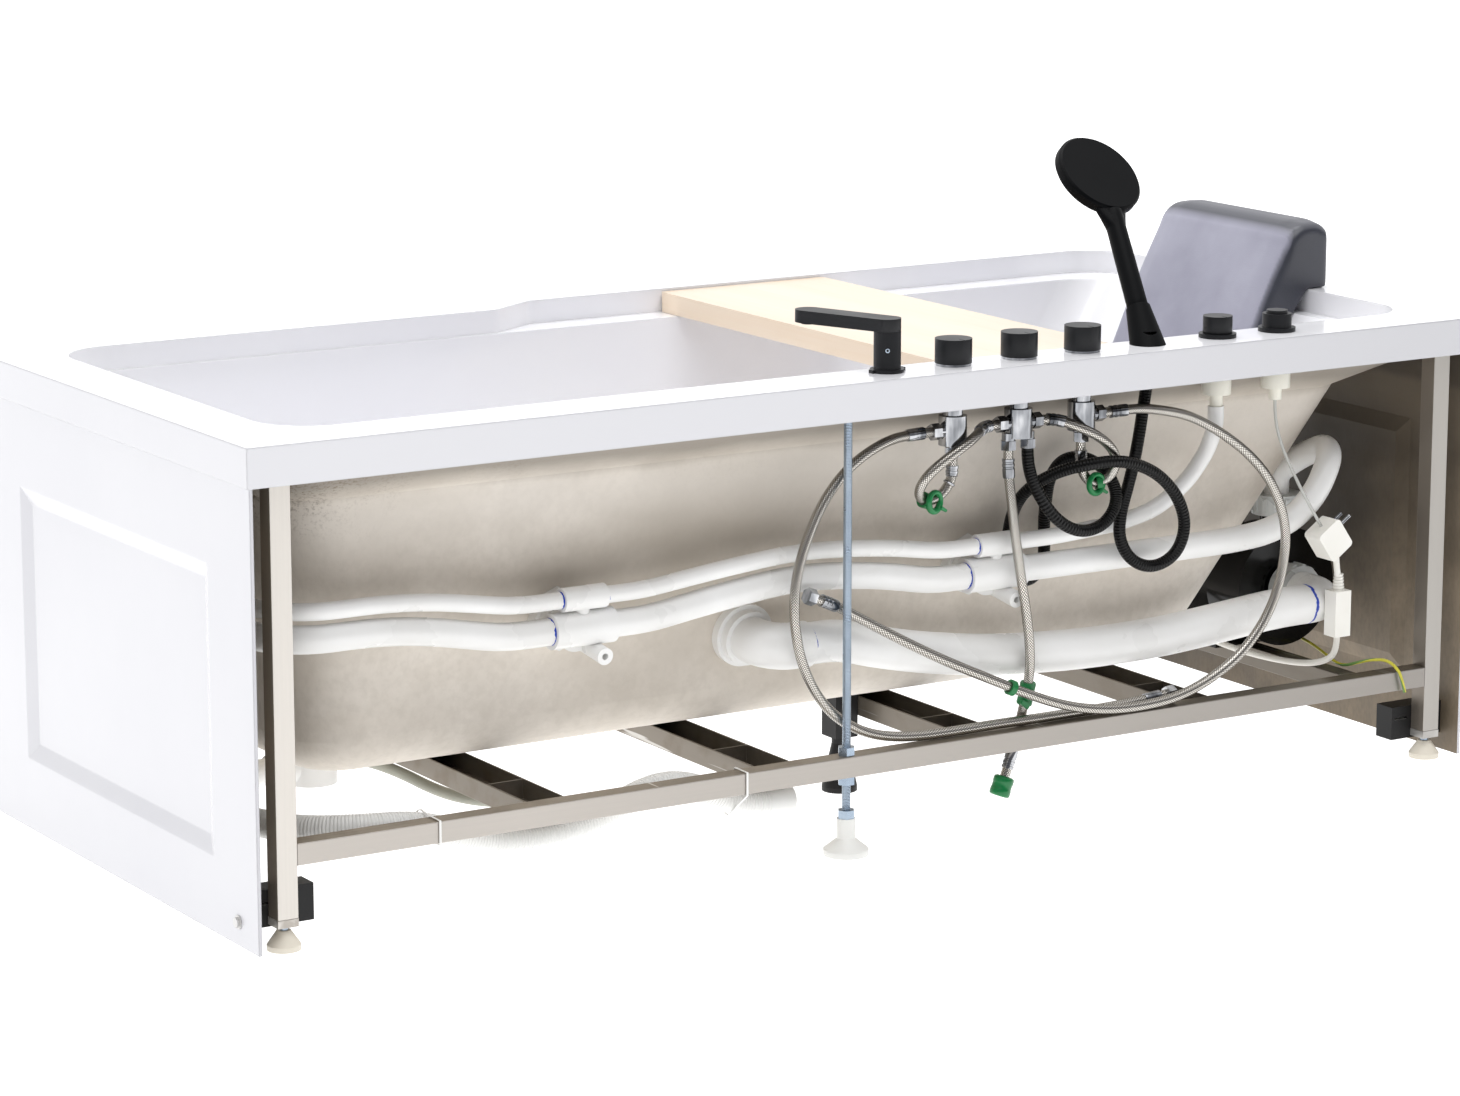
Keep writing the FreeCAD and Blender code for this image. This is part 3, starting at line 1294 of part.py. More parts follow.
def make_union():
    """A ribbed union nut along +Z."""
    ring = Part.makeCylinder(S.union_radius - S.union_rib, S.union_length)
    ribs = []
    for number in range(int(S.union_ribs)):
        rib = Part.makeBox(2 * S.union_rib, 3 * S.union_rib, S.union_length - 8,
                           Vector(S.union_radius - 2 * S.union_rib, -1.5 * S.union_rib, 4))
        rib.rotate(Vector(), Z_AXIS, 360.0 * number / S.union_ribs)
        ribs.append(rib)
    bore = Part.makeCylinder(S.outlet_bore, S.union_length)
    return ring.fuse(ribs).cut(bore).removeSplitter()


UNION = make_union()
node(shaped("pump_volute", make_volute()))
node(shaped("pump_motor", make_motor()))
node(shaped("impeller", make_impeller(), PUMP_FACE))
node(group("pump_unions", [
    shaped("inlet_union", UNION, Vector(S.pump_x, S.pump_face_y - S.inlet_length, S.pump_z), AGAINST_Y),
    shaped("outlet_union", UNION, Vector(OUTLET_X, OUTLET_Y, S.pump_z + S.outlet_height))]))

# Waste: drain body through the floor, and the plug that lifts

drain_outside = stack("drain_outside",
                      [("drain_body_radius", "drain_body_radius",
                        "(floor_height - acrylic_wall - backing_wall - drain_body_bottom)"),
                       ("drain_neck_radius", "drain_neck_radius", "(acrylic_wall + backing_wall)"),
                       ("drain_flange_radius", "drain_flange_radius", "drain_flange")],
                      ("drain_x", "0", "drain_body_bottom"))
DRAIN_OUTLET = ("drain_x", "0", "drain_outlet_z")
DRAIN_SEAT = ("drain_x", "0", "drain_body_bottom + drain_bottom")
drain_tail = bar("drain_tail_pipe", "drain_outlet_radius", "drain_tail", DRAIN_OUTLET, AGAINST_X)
drain_nipple = bar("drain_nipple_pipe", "drain_nipple_radius", "drain_nipple", DRAIN_OUTLET, ALONG_X)
drain_sump = bar("drain_sump", "drain_bore", "floor_height - drain_body_bottom", DRAIN_SEAT)
drain_tail_bore = bar("drain_tail_bore", "drain_hose_bore", "drain_tail", DRAIN_OUTLET, AGAINST_X)
drain_guide = bar("drain_guide", "drain_stem_radius + drain_guide_wall", "drain_guide_height", DRAIN_SEAT)
drain_guide_bore = bar("drain_guide_bore", "drain_stem_radius + running_fit", "drain_guide_height",
                       DRAIN_SEAT)
drain_hollow = cut("drain_hollow", fuse("drain_solid", [drain_outside, drain_tail, drain_nipple]),
                   [drain_sump, drain_tail_bore])
node(cut("drain_fitting", fuse("drain_guided", [drain_hollow, drain_guide]), [drain_guide_bore]))
plug_cap = bar("drain_plug_cap", "drain_cap_radius", "drain_cap",
               ("drain_x", "0", "floor_height + drain_flange + swivel_gap"))
STEM_END = "drain_body_bottom + drain_bottom + drain_stem_gap"
plug_stem = bar("drain_plug_stem", "drain_stem_radius",
                "floor_height + drain_flange + swivel_gap - (%s)" % STEM_END, ("drain_x", "0", STEM_END))
node(fuse("drain_plug", [plug_cap, plug_stem]))


# Hoses. The routes are chosen points; their first and last points lie on the fittings they meet.

PORT_LEVEL = S.rim_height - S.valve_top_drop - S.valve_height / 2
LOWER_PORT = S.rim_height - S.valve_top_drop - S.valve_height - S.port_length
SIDE_REACH = S.valve_radius + S.port_length + S.hose_nut_length
NUT_FOOT = LOWER_PORT - S.hose_nut_length
LEFT_DROP_X = S.diverter_x - S.shower_port_offset
RIGHT_DROP_X = S.diverter_x + S.shower_port_offset

HOT_HOSE = [(S.hot_x - SIDE_REACH, TAP_LINE, PORT_LEVEL), (32, TAP_LINE, PORT_LEVEL), (-5, -352, 484),
            (-54, -354, 462), (-90, -357, 430), (-115, -360, 392), (-135, -363, 345), (-142, -366, 300),
            (-135, -366, 250), (-118, -364, 210), (-93, -361, 176), (-60, -359, 150), (-20, -361, 133),
            (30, -364, 126.4), (90, -366, 126.4), (150, -365.5, 127), (204, -366.5, 126.5),
            (258, -366, 126.4), (311, -365.5, 126.6), (356, -365, 127.8), (400, -364, 131)]
COLD_HOSE = [(S.cold_x + SIDE_REACH, TAP_LINE, PORT_LEVEL), (325, TAP_LINE, PORT_LEVEL), (352, -366, 491),
             (385, -377, 486), (420, -379, 476), (465, -379, 452), (510, -379, 420), (544, -379, 383),
             (564, -379, 340), (569, -379, 300), (558, -379, 246), (535, -379, 205), (500, -379, 170),
             (455, -381, 147), (410, -384, 133), (360, -384, 127), (300, -383, 128), (245, -381, 138),
             (190, -378, 158), (130, -374, 186), (72, -370, 213), (15, -364, 243), (-42, -359, 276),
             (-80, -357, 298), (-108, -357, 309)]
INLET_HOSE = [(LEFT_DROP_X, TAP_LINE, NUT_FOOT), (LEFT_DROP_X, TAP_LINE, 432), (170, -357, 395),
              (174, -361, 350), (182, -362, 300), (192, -362, 250), (198, -361, 205), (199, -357, 172),
              (196, -352, 143), (190, -349, 112), (180, -349, 80), (170, -350, 55)]
FIRST_LINK = [(S.diverter_x - SIDE_REACH, TAP_LINE, PORT_LEVEL), (131, -352, PORT_LEVEL), (113, -368, 482),
              (88, -378.5, 473), (60, -379, 459), (38, -373, 441), (32, -365, 424), (39, -357, 411),
              (55, -353, 405), (73, -352, 411), (86, -352, 426), (S.hot_x, TAP_LINE, 441),
              (S.hot_x, TAP_LINE, NUT_FOOT)]
SECOND_LINK = [(S.diverter_x + SIDE_REACH, TAP_LINE, PORT_LEVEL), (234, -352, PORT_LEVEL), (252, -370, 480),
               (276, -380, 468), (297, -379, 453), (311, -374, 436), (314, -366, 418), (305, -359, 405),
               (290, -354, 403), (278, -352, 414), (S.cold_x, TAP_LINE, 434), (S.cold_x, TAP_LINE, NUT_FOOT)]
TAIL_FACE = SHOWER_FOOT + HANDLE_AXIS * S.handle_start
TAIL_LEAD = SHOWER_FOOT - HANDLE_AXIS * 4
SHOWER_HOSE = [(RIGHT_DROP_X, TAP_LINE, NUT_FOOT), (RIGHT_DROP_X, TAP_LINE, 436), (201, -361, 408),
               (222, -370, 371),
               (255, -373, 350), (290, -373, 352), (314, -370, 372), (322, -360, 395), (316, -342, 418),
               (296, -328, 432), (270, -320, 430), (256, -314, 408), (257, -306, 380), (262, -295, 350),
               (268, -289, 320), (266, -289, 296), (252, -289, 279), (233, -289, 277), (217, -289, 290),
               (211, -290, 314), (209, -296, 344), (203, -314, 372), (202, -333, 395), (216, -347, 412),
               (238, -364, 426), (264, -384, 434), (300, -390, 436), (335, -391, 427), (370, -388, 408),
               (400, -384, 376), (413, -380, 340), (402, -375, 306), (372, -368, 292), (343, -362, 304),
               (328, -358, 332), (331, -357, 363), (340, -357, 390), (350, -356, 420), (358, -355, 454),
               (364, -354, 486), (369, -354, 516), (TAIL_LEAD.x, TAIL_LEAD.y, 541), tuple(TAIL_LEAD),
               tuple(TAIL_FACE)]
GLAND_END = S.pump_x - S.gland_length
GLAND_Z = S.pump_z - S.gland_drop
CONNECTOR_TOP = S.connector_z + S.connector_length
PLUG_PLACE = Vector(S.plug_x, S.plug_y, S.plug_z)
PLUG_TURN = Rotation(Y_AXIS, -S.plug_tilt)
PLUG_FOOT = PLUG_PLACE - PLUG_TURN.multVec(Vector(0, 0, S.plug_tall / 2))
PLUG_TOP = PLUG_PLACE + PLUG_TURN.multVec(Vector(0, 0, S.plug_tall / 2))
MAINS_CORD = [(GLAND_END, S.gland_y, GLAND_Z), (592, S.gland_y, GLAND_Z), (572, -86, 190), (576, -126, 168),
              (592, -172, 148), (614, -222, 134), (637, -272, 127.5), (655, -316, 128), (665, -344, 136),
              (S.connector_x, S.connector_y, 151), (S.connector_x, S.connector_y, S.connector_z)]
PLUG_CORD = [(S.connector_x, S.connector_y, CONNECTOR_TOP),
             (S.connector_x, S.connector_y, CONNECTOR_TOP + 12),
             (PLUG_FOOT.x + 3, -362, PLUG_FOOT.z - 20), tuple(PLUG_FOOT)]
EARTH_WIRE = [(735, VOLUTE_BACK + 5, 133), (735, -192, 133), (729, -238, 129), (714, -284, 126),
              (700, -322, 124.5), (694, -347, 127), (706, -358, 132), (722, -365, 135), (737, -377, 135),
              (745, -389, 124), (751, -390.5, 108), (755, -390.8, 94)]
SWITCH_TUBE = [(S.button_x, TAP_LINE, CONTROL_FOOT), (S.button_x, TAP_LINE, 456), (577, -355, 420),
               (594, -359, 384), (PLUG_TOP.x - 22, S.plug_y, PLUG_TOP.z + 32), tuple(PLUG_TOP)]
NIPPLE_END = S.drain_x + S.drain_nipple
BLEED_TUBE = [(NIPPLE_END, 0, S.drain_outlet_z), (-522, 0, S.drain_outlet_z), (-494, -8, 85), (-470, -24, 73),
              (-453, -48, 62), (-439, -76, 56), (-423, -103, 54), (-404, -126, 54), (-387, -141, 54)]
DRAIN_HOSE = [(S.drain_x - S.drain_tail, 0, S.drain_outlet_z), (-692, 0, S.drain_outlet_z), (-745, -46, 96),
              (-768, -130, 99), (-768, -215, 103), (-748, -295, 108), (-690, -338, 112), (-620, -343.5, 108),
              (-560, -343.5, 84), (-510, -343.5, 74), (-440, -343.5, 73), (-385, -343.5, 86),
              (-320, -343.5, 110), (-270, -343.5, 106), (-222, -343.5, 80), (-170, -343.5, 70),
              (-132, -343.5, 70)]

node(shaped("hot_hose", cord("hot_hose", HOT_HOSE, S.braid_radius)))
node(shaped("cold_hose", cord("cold_hose", COLD_HOSE, S.braid_radius)))
node(shaped("inlet_hose", cord("inlet_hose", INLET_HOSE, S.braid_radius)))
node(shaped("first_link_hose", cord("first_link_hose", FIRST_LINK, S.braid_radius)))
node(shaped("second_link_hose", cord("second_link_hose", SECOND_LINK, S.braid_radius)))
node(shaped("shower_hose", cord("shower_hose", SHOWER_HOSE, S.shower_hose_radius)))
node(shaped("mains_cord", cord("mains_cord", MAINS_CORD, S.mains_cord_radius)))
node(shaped("earth_wire", cord("earth_wire", EARTH_WIRE, S.earth_wire_radius)))
node(shaped("switch_tube", cord("switch_tube", SWITCH_TUBE, S.switch_tube_radius)))
node(shaped("bleed_tube", cord("bleed_tube", BLEED_TUBE, S.bleed_tube_radius)))


def make_ribbed_hose(points, ribs):
    """A corrugated hose: circles along the route, four to a rib, with plain cuffs at both ends."""
    corners = [Vector(*point) for point in points]
    edges = rounded_edges(corners, corner_radii(corners))
    path = Part.Wire(edges)
    crest = S.drain_hose_radius
    groove = crest - S.drain_hose_groove
    cuff = 2 * crest
    pitch = (path.Length - 2 * cuff) / ribs
    stations = [(0.0, crest)]
    for rib in range(int(ribs)):
        start = cuff + rib * pitch
        stations += [(start, crest), (start + 0.35 * pitch, crest), (start + 0.5 * pitch, groove),
                     (start + 0.85 * pitch, groove)]
    stations += [(path.Length - cuff, crest), (path.Length, crest)]
    lengths = [edge.Length for edge in edges]
    print("drain_hose length %.0f mm, pitch %.1f mm" % (path.Length, pitch))

    def ring(distance, radius):
        left = distance
        for edge, length in zip(edges, lengths):
            if left <= length or edge is edges[-1]:
                break
            left -= length
        parameter = edge.getParameterByLength(min(left, edge.Length))
        centre = edge.valueAt(parameter)
        heading = edge.tangentAt(parameter)
        steady = Z_AXIS.cross(heading).normalize()
        frame = Rotation(steady, Vector(), heading, "ZXY")
        circle = Part.makeCircle(radius)
        circle.Placement = Placement(centre, frame)
        return Part.Wire([circle])

    outside = Part.makeLoft([ring(*station) for station in stations], True, True)
    return outside.cut(sweep(edges, S.drain_hose_bore))


node(shaped("drain_hose", make_ribbed_hose(DRAIN_HOSE, S.drain_hose_ribs)))


# Nuts, bend rings, caps and ties on the hoses

def hose_nut(point, heading):
    """A hexagon nut from a port's face to its hose."""
    corners = [Vector(S.hose_nut_radius * math.cos(math.radians(60 * k)),
                      S.hose_nut_radius * math.sin(math.radians(60 * k)), 0) for k in range(7)]
    nut = Part.Face(Part.makePolygon(corners)).extrude(Vector(0, 0, S.hose_nut_length))
    nut.Placement = Placement(Vector(*point), Rotation(Z_AXIS, Vector(*heading)))
    return nut


def clip_ring(point, heading, radius):
    """A short sleeve round a hose."""
    start = along(point, heading, -S.clip_width / 2)
    sleeve = Part.makeCylinder(radius + S.clip_wall, S.clip_width, start, Vector(*heading))
    return sleeve.cut(Part.makeCylinder(radius + S.clip_clearance, S.clip_width, start, Vector(*heading)))


def heading_at(points, index):
    """The way a route runs from one of its points to the next."""
    return tuple((Vector(*points[index + 1]) - Vector(*points[index])).normalize())


def middle_of(points, index):
    return (Vector(*points[index]) + Vector(*points[index + 1])) * 0.5


LEFT = (-1, 0, 0)
RIGHT = (1, 0, 0)
DOWN = (0, 0, -1)
fittings = [hose_nut((S.hot_x - S.valve_radius - S.port_length, TAP_LINE, PORT_LEVEL), LEFT),
            hose_nut((S.diverter_x - S.valve_radius - S.port_length, TAP_LINE, PORT_LEVEL), LEFT),
            hose_nut((S.diverter_x + S.valve_radius + S.port_length, TAP_LINE, PORT_LEVEL), RIGHT),
            hose_nut((S.cold_x + S.valve_radius + S.port_length, TAP_LINE, PORT_LEVEL), RIGHT)]
fittings += [hose_nut((x, TAP_LINE, LOWER_PORT), DOWN)
             for x in (S.hot_x, LEFT_DROP_X, RIGHT_DROP_X, S.cold_x)]
for route in (HOT_HOSE, COLD_HOSE):
    fittings.append(hose_nut(route[-1], heading_at(route, len(route) - 2)))
fittings.append(Part.makeCylinder(S.cap_radius, S.cap_length, Vector(*INLET_HOSE[-1]),
                                  Vector(*heading_at(INLET_HOSE, len(INLET_HOSE) - 2))))
for route, index in ((FIRST_LINK, 7), (SECOND_LINK, 7), (INLET_HOSE, 7), (COLD_HOSE, 18)):
    fittings.append(clip_ring(tuple(middle_of(route, index)), heading_at(route, index), S.braid_radius))
node(shaped("hose_fittings", Part.makeCompound(fittings)))


# Mains plug with its pins, its lead and the connector below it

def make_plug():
    """A block about its own centre, cord below and pins to +X."""
    block = Part.makeBox(S.plug_width, S.plug_depth, S.plug_tall,
                         Vector(-S.plug_width / 2, -S.plug_depth / 2, -S.plug_tall / 2))
    sides = [edge for edge in block.Edges if edge.BoundBox.YLength > S.plug_depth / 2]
    block = block.makeFillet(S.plug_corner, sides)
    pins = [Part.makeCylinder(S.pin_radius, S.pin_length,
                              Vector(S.plug_width / 2, side * S.pin_pitch / 2, S.pin_rise), X_AXIS)
            for side in (-1, 1)]
    plug = block.fuse(pins)
    plug.Placement = Placement(PLUG_PLACE, PLUG_TURN)
    return plug


connector = Part.makeBox(S.connector_width, S.connector_depth, S.connector_length,
                         Vector(S.connector_x - S.connector_width / 2, S.connector_y - S.connector_depth / 2,
                                S.connector_z))
plug_lead = cord("plug_lead", PLUG_CORD, S.mains_cord_radius)
node(shaped("mains_plug", Part.makeCompound([make_plug(), connector, plug_lead])))


# Check every object, then write each sub-part

doc.recompute()
faults = []
for item in doc.Objects:
    if any(word in item.State for word in ("Invalid", "Error")):
        faults.append("%s is %s" % (item.Label, item.State))
for item in NODES:
    if item.Shape.isNull() or not item.Shape.isValid() or not item.Shape.Solids:
        faults.append("%s has no valid solid" % item.Label)
if faults:
    raise RuntimeError("; ".join(faults))

os.makedirs("parts", exist_ok=True)
for item in NODES:
    item.Shape.exportStep("parts/%s.step" % item.Label)
print(len(NODES), "sub-parts written")
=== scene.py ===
import bisect
import bmesh
import bpy
import math
from mathutils import Matrix, Vector


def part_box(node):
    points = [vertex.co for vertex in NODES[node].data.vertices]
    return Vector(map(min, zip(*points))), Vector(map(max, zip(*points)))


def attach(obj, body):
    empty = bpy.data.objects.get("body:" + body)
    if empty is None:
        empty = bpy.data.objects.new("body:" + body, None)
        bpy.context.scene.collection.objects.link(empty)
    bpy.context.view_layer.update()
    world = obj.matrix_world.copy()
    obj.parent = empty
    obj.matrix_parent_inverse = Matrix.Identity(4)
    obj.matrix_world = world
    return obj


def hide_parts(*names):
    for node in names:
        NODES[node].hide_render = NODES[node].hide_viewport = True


# Looks of a jetted bath on its steel frame, seen from the open service side.
# Frame as in the solids: floor centre, +X to the headrest end, -Y the service side, +Z up. Metres.

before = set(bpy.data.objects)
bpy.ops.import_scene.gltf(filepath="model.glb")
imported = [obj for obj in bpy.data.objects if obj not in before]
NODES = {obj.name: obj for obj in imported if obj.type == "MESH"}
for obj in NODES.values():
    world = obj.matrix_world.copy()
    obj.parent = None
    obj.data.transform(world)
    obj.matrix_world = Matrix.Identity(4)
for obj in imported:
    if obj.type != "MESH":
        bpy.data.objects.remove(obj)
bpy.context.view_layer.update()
SCENE = bpy.context.scene
MM = 0.001
RIM_LENGTH = 1.7


# Camera, light and floor

CAMERA_PLACE = (-2.9369, -4.7526, 1.4625)
CAMERA_DOWN, CAMERA_TURN = 11.826, -31.698
FOCAL_LENGTH, FILM_WIDTH = 113.85, 36


def add_camera():
    data = bpy.data.cameras.new("camera")
    data.lens = FOCAL_LENGTH
    data.sensor_width = FILM_WIDTH
    data.clip_end = 60
    camera = bpy.data.objects.new("camera", data)
    camera.location = CAMERA_PLACE
    camera.rotation_euler = (math.radians(90 - CAMERA_DOWN), 0, math.radians(CAMERA_TURN))
    SCENE.collection.objects.link(camera)
    SCENE.camera = camera


def add_softbox(name, place, aim, size, power):
    data = bpy.data.lights.new(name, "AREA")
    data.shape = "RECTANGLE"
    data.size, data.size_y = size
    data.energy = power
    light = bpy.data.objects.new(name, data)
    light.location = place
    light.rotation_euler = (Vector(aim) - Vector(place)).to_track_quat("-Z", "Y").to_euler()
    SCENE.collection.objects.link(light)


def set_stops(ramp, stops):
    """Colours of a ramp, each with its place along it."""
    points = ramp.color_ramp.elements
    while len(points) < len(stops):
        points.new(0.5)
    for point, (at, colour) in zip(points, stops):
        point.position = at
        point.color = (*colour, 1)


def add_sky():
    """White overhead and behind, dim towards the front horizon, so bright metal mirrors light and dark."""
    world = bpy.data.worlds.new("studio")
    world.use_nodes = True
    tree = world.node_tree
    coords = tree.nodes.new("ShaderNodeTexCoord")
    parts = tree.nodes.new("ShaderNodeSeparateXYZ")
    behind = tree.nodes.new("ShaderNodeMath")
    behind.operation = "MULTIPLY_ADD"
    back_share = 0.55
    behind.inputs[1].default_value = back_share
    ramp = tree.nodes.new("ShaderNodeValToRGB")
    background = tree.nodes["Background"]
    set_stops(ramp, [(0.0, (0.16, 0.16, 0.17)), (0.15, (0.24, 0.24, 0.25)),
                     (0.42, (0.86, 0.86, 0.87)), (1.0, (1, 1, 1))])
    tree.links.new(coords.outputs["Generated"], parts.inputs["Vector"])
    tree.links.new(parts.outputs["Y"], behind.inputs[0])
    tree.links.new(parts.outputs["Z"], behind.inputs[2])
    tree.links.new(behind.outputs["Value"], ramp.inputs["Fac"])
    tree.links.new(ramp.outputs["Color"], background.inputs["Color"])
    background.inputs["Strength"].default_value = 1.22
    SCENE.world = world


def add_studio():
    add_sky()
    SCENE.view_settings.view_transform = "Standard"
    add_softbox("side_light", place=(-4.2, -1.4, 1.9), aim=(-0.4, 0.0, 0.3), size=(2.6, 2.2), power=1)
    add_softbox("top_light", place=(-0.2, -1.4, 4.2), aim=(0.1, 0.0, 0.4), size=(3.2, 1.8), power=54)
    add_softbox("back_light", place=(0.5, 0.9, 3.4), aim=(0.1, 0.0, 0.3), size=(2.4, 1.2), power=36)
    bpy.ops.mesh.primitive_plane_add(size=40)
    floor = bpy.context.object
    floor.name = "studio_floor"
    lit = Surface("floor_white", tone(140, 140, 140), roughness=0.9, Emission_Color=(1, 1, 1, 1),
                  Emission_Strength=1.3)
    floor.data.materials.append(lit.material)


# Shader helpers

def tone(red, green, blue):
    """A colour as it shows on a screen, 0 to 255, in linear light."""
    def linear(value):
        share = value / 255
        return share / 12.92 if share <= 0.04045 else ((share + 0.055) / 1.055) ** 2.4
    return (linear(red), linear(green), linear(blue))


class Surface:
    """A material under construction: a Principled shader and the nodes that feed it."""

    def __init__(self, name, colour, roughness=0.5, metallic=0.0, **sockets):
        self.material = bpy.data.materials.new(name)
        self.material.use_nodes = True
        self.tree = self.material.node_tree
        self.shader = self.tree.nodes["Principled BSDF"]
        self.shader.inputs["Base Color"].default_value = (*colour, 1)
        self.shader.inputs["Roughness"].default_value = roughness
        self.shader.inputs["Metallic"].default_value = metallic
        for socket, value in sockets.items():
            self.shader.inputs[socket.replace("_", " ")].default_value = value
        self.normal = None

    def node(self, kind, **props):
        item = self.tree.nodes.new(kind)
        for prop, value in props.items():
            setattr(item, prop, value)
        return item

    def link(self, source, target):
        self.tree.links.new(source, target)

    def place(self, stretch=(1, 1, 1)):
        """The piece's own coordinates, scaled along each axis."""
        coords = self.node("ShaderNodeTexCoord")
        mapping = self.node("ShaderNodeMapping")
        mapping.inputs["Scale"].default_value = stretch
        self.link(coords.outputs["Object"], mapping.inputs["Vector"])
        return mapping.outputs["Vector"]

    def noise(self, scale, stretch=(1, 1, 1), detail=5.0, roughness=0.55):
        item = self.node("ShaderNodeTexNoise")
        item.inputs["Scale"].default_value = scale
        item.inputs["Detail"].default_value = detail
        item.inputs["Roughness"].default_value = roughness
        self.link(self.place(stretch), item.inputs["Vector"])
        return item.outputs["Fac"]

    def cells(self, scale):
        item = self.node("ShaderNodeTexVoronoi")
        item.inputs["Scale"].default_value = scale
        self.link(self.place(), item.inputs["Vector"])
        return item.outputs["Distance"]

    def ramp(self, value, stops):
        item = self.node("ShaderNodeValToRGB")
        self.link(value, item.inputs["Fac"])
        set_stops(item, stops)
        return item.outputs["Color"]

    def grey_ramp(self, value, stops):
        return self.ramp(value, [(at, (level, level, level)) for at, level in stops])

    def math(self, operation, first, second=None):
        item = self.node("ShaderNodeMath", operation=operation)
        for socket, value in zip(item.inputs, (first, second)):
            if value is None:
                continue
            if isinstance(value, (int, float)):
                socket.default_value = value
            else:
                self.link(value, socket)
        return item.outputs["Value"]

    def mix(self, share, first, second):
        """A share of the second colour in the first."""
        item = self.node("ShaderNodeMix", data_type="RGBA")
        factor, first_colour, second_colour = item.inputs[0], item.inputs[6], item.inputs[7]
        for socket, value in zip((factor, first_colour, second_colour), (share, first, second)):
            if isinstance(value, tuple):
                socket.default_value = (*value, 1)
            elif isinstance(value, (int, float)):
                socket.default_value = value
            else:
                self.link(value, socket)
        return item.outputs[2]

    def axis(self, letter, source="Object"):
        coords = self.node("ShaderNodeTexCoord")
        parts = self.node("ShaderNodeSeparateXYZ")
        self.link(coords.outputs[source], parts.inputs["Vector"])
        return parts.outputs[letter]

    def along_rim(self):
        """Zero at the foot end of the rim, one at the head end."""
        return self.math("DIVIDE", self.math("ADD", self.axis("X"), RIM_LENGTH / 2), RIM_LENGTH)

    def colour(self, value):
        self.link(value, self.shader.inputs["Base Color"])

    def rough(self, value):
        self.link(value, self.shader.inputs["Roughness"])

    def round_edges(self, radius):
        """Shade hard edges as if rounded."""
        item = self.node("ShaderNodeBevel", samples=6)
        item.inputs["Radius"].default_value = radius
        self.normal = item.outputs["Normal"]
        self.link(self.normal, self.shader.inputs["Normal"])

    def near(self, letter, at, width, ragged):
        """One within a width of a place along an axis, with a ragged edge."""
        wobble = self.math("MULTIPLY", self.math("SUBTRACT", self.noise(90.0, detail=3.0), 0.5), ragged)
        gap = self.math("SUBTRACT", self.math("ADD", self.axis(letter), wobble), at)
        return self.math("LESS_THAN", self.math("ABSOLUTE", gap), width)

    def bump(self, height, strength, distance):
        item = self.node("ShaderNodeBump")
        item.inputs["Strength"].default_value = strength
        item.inputs["Distance"].default_value = distance
        self.link(height, item.inputs["Height"])
        if self.normal:
            self.link(self.normal, item.inputs["Normal"])
        self.normal = item.outputs["Normal"]
        self.link(self.normal, self.shader.inputs["Normal"])


# Materials

def acrylic(name, dark, light):
    surface = Surface(name, light, roughness=0.15, Coat_Weight=0.35, Coat_Roughness=0.05)
    surface.colour(surface.ramp(surface.noise(2.2), [(0.35, dark), (0.65, light)]))
    surface.rough(surface.grey_ramp(surface.noise(9.0), [(0.3, 0.12), (0.7, 0.22)]))
    surface.round_edges(0.004)
    surface.bump(surface.noise(26.0, detail=2.0), 0.03, 0.001)
    return surface.material


def acrylic_lip_painted_shade():
    """The front lip of the rim: the white acrylic darkened as painted shade, more so towards the head end."""
    surface = Surface("acrylic_lip_painted_shade", tone(228, 228, 232), roughness=0.15, Coat_Weight=0.35,
                      Coat_Roughness=0.05)
    surface.colour(surface.ramp(surface.along_rim(), [(0.05, tone(218, 218, 222)), (0.5, tone(212, 212, 216)),
                                                      (0.95, tone(198, 198, 202))]))
    surface.round_edges(0.004)
    return surface.material


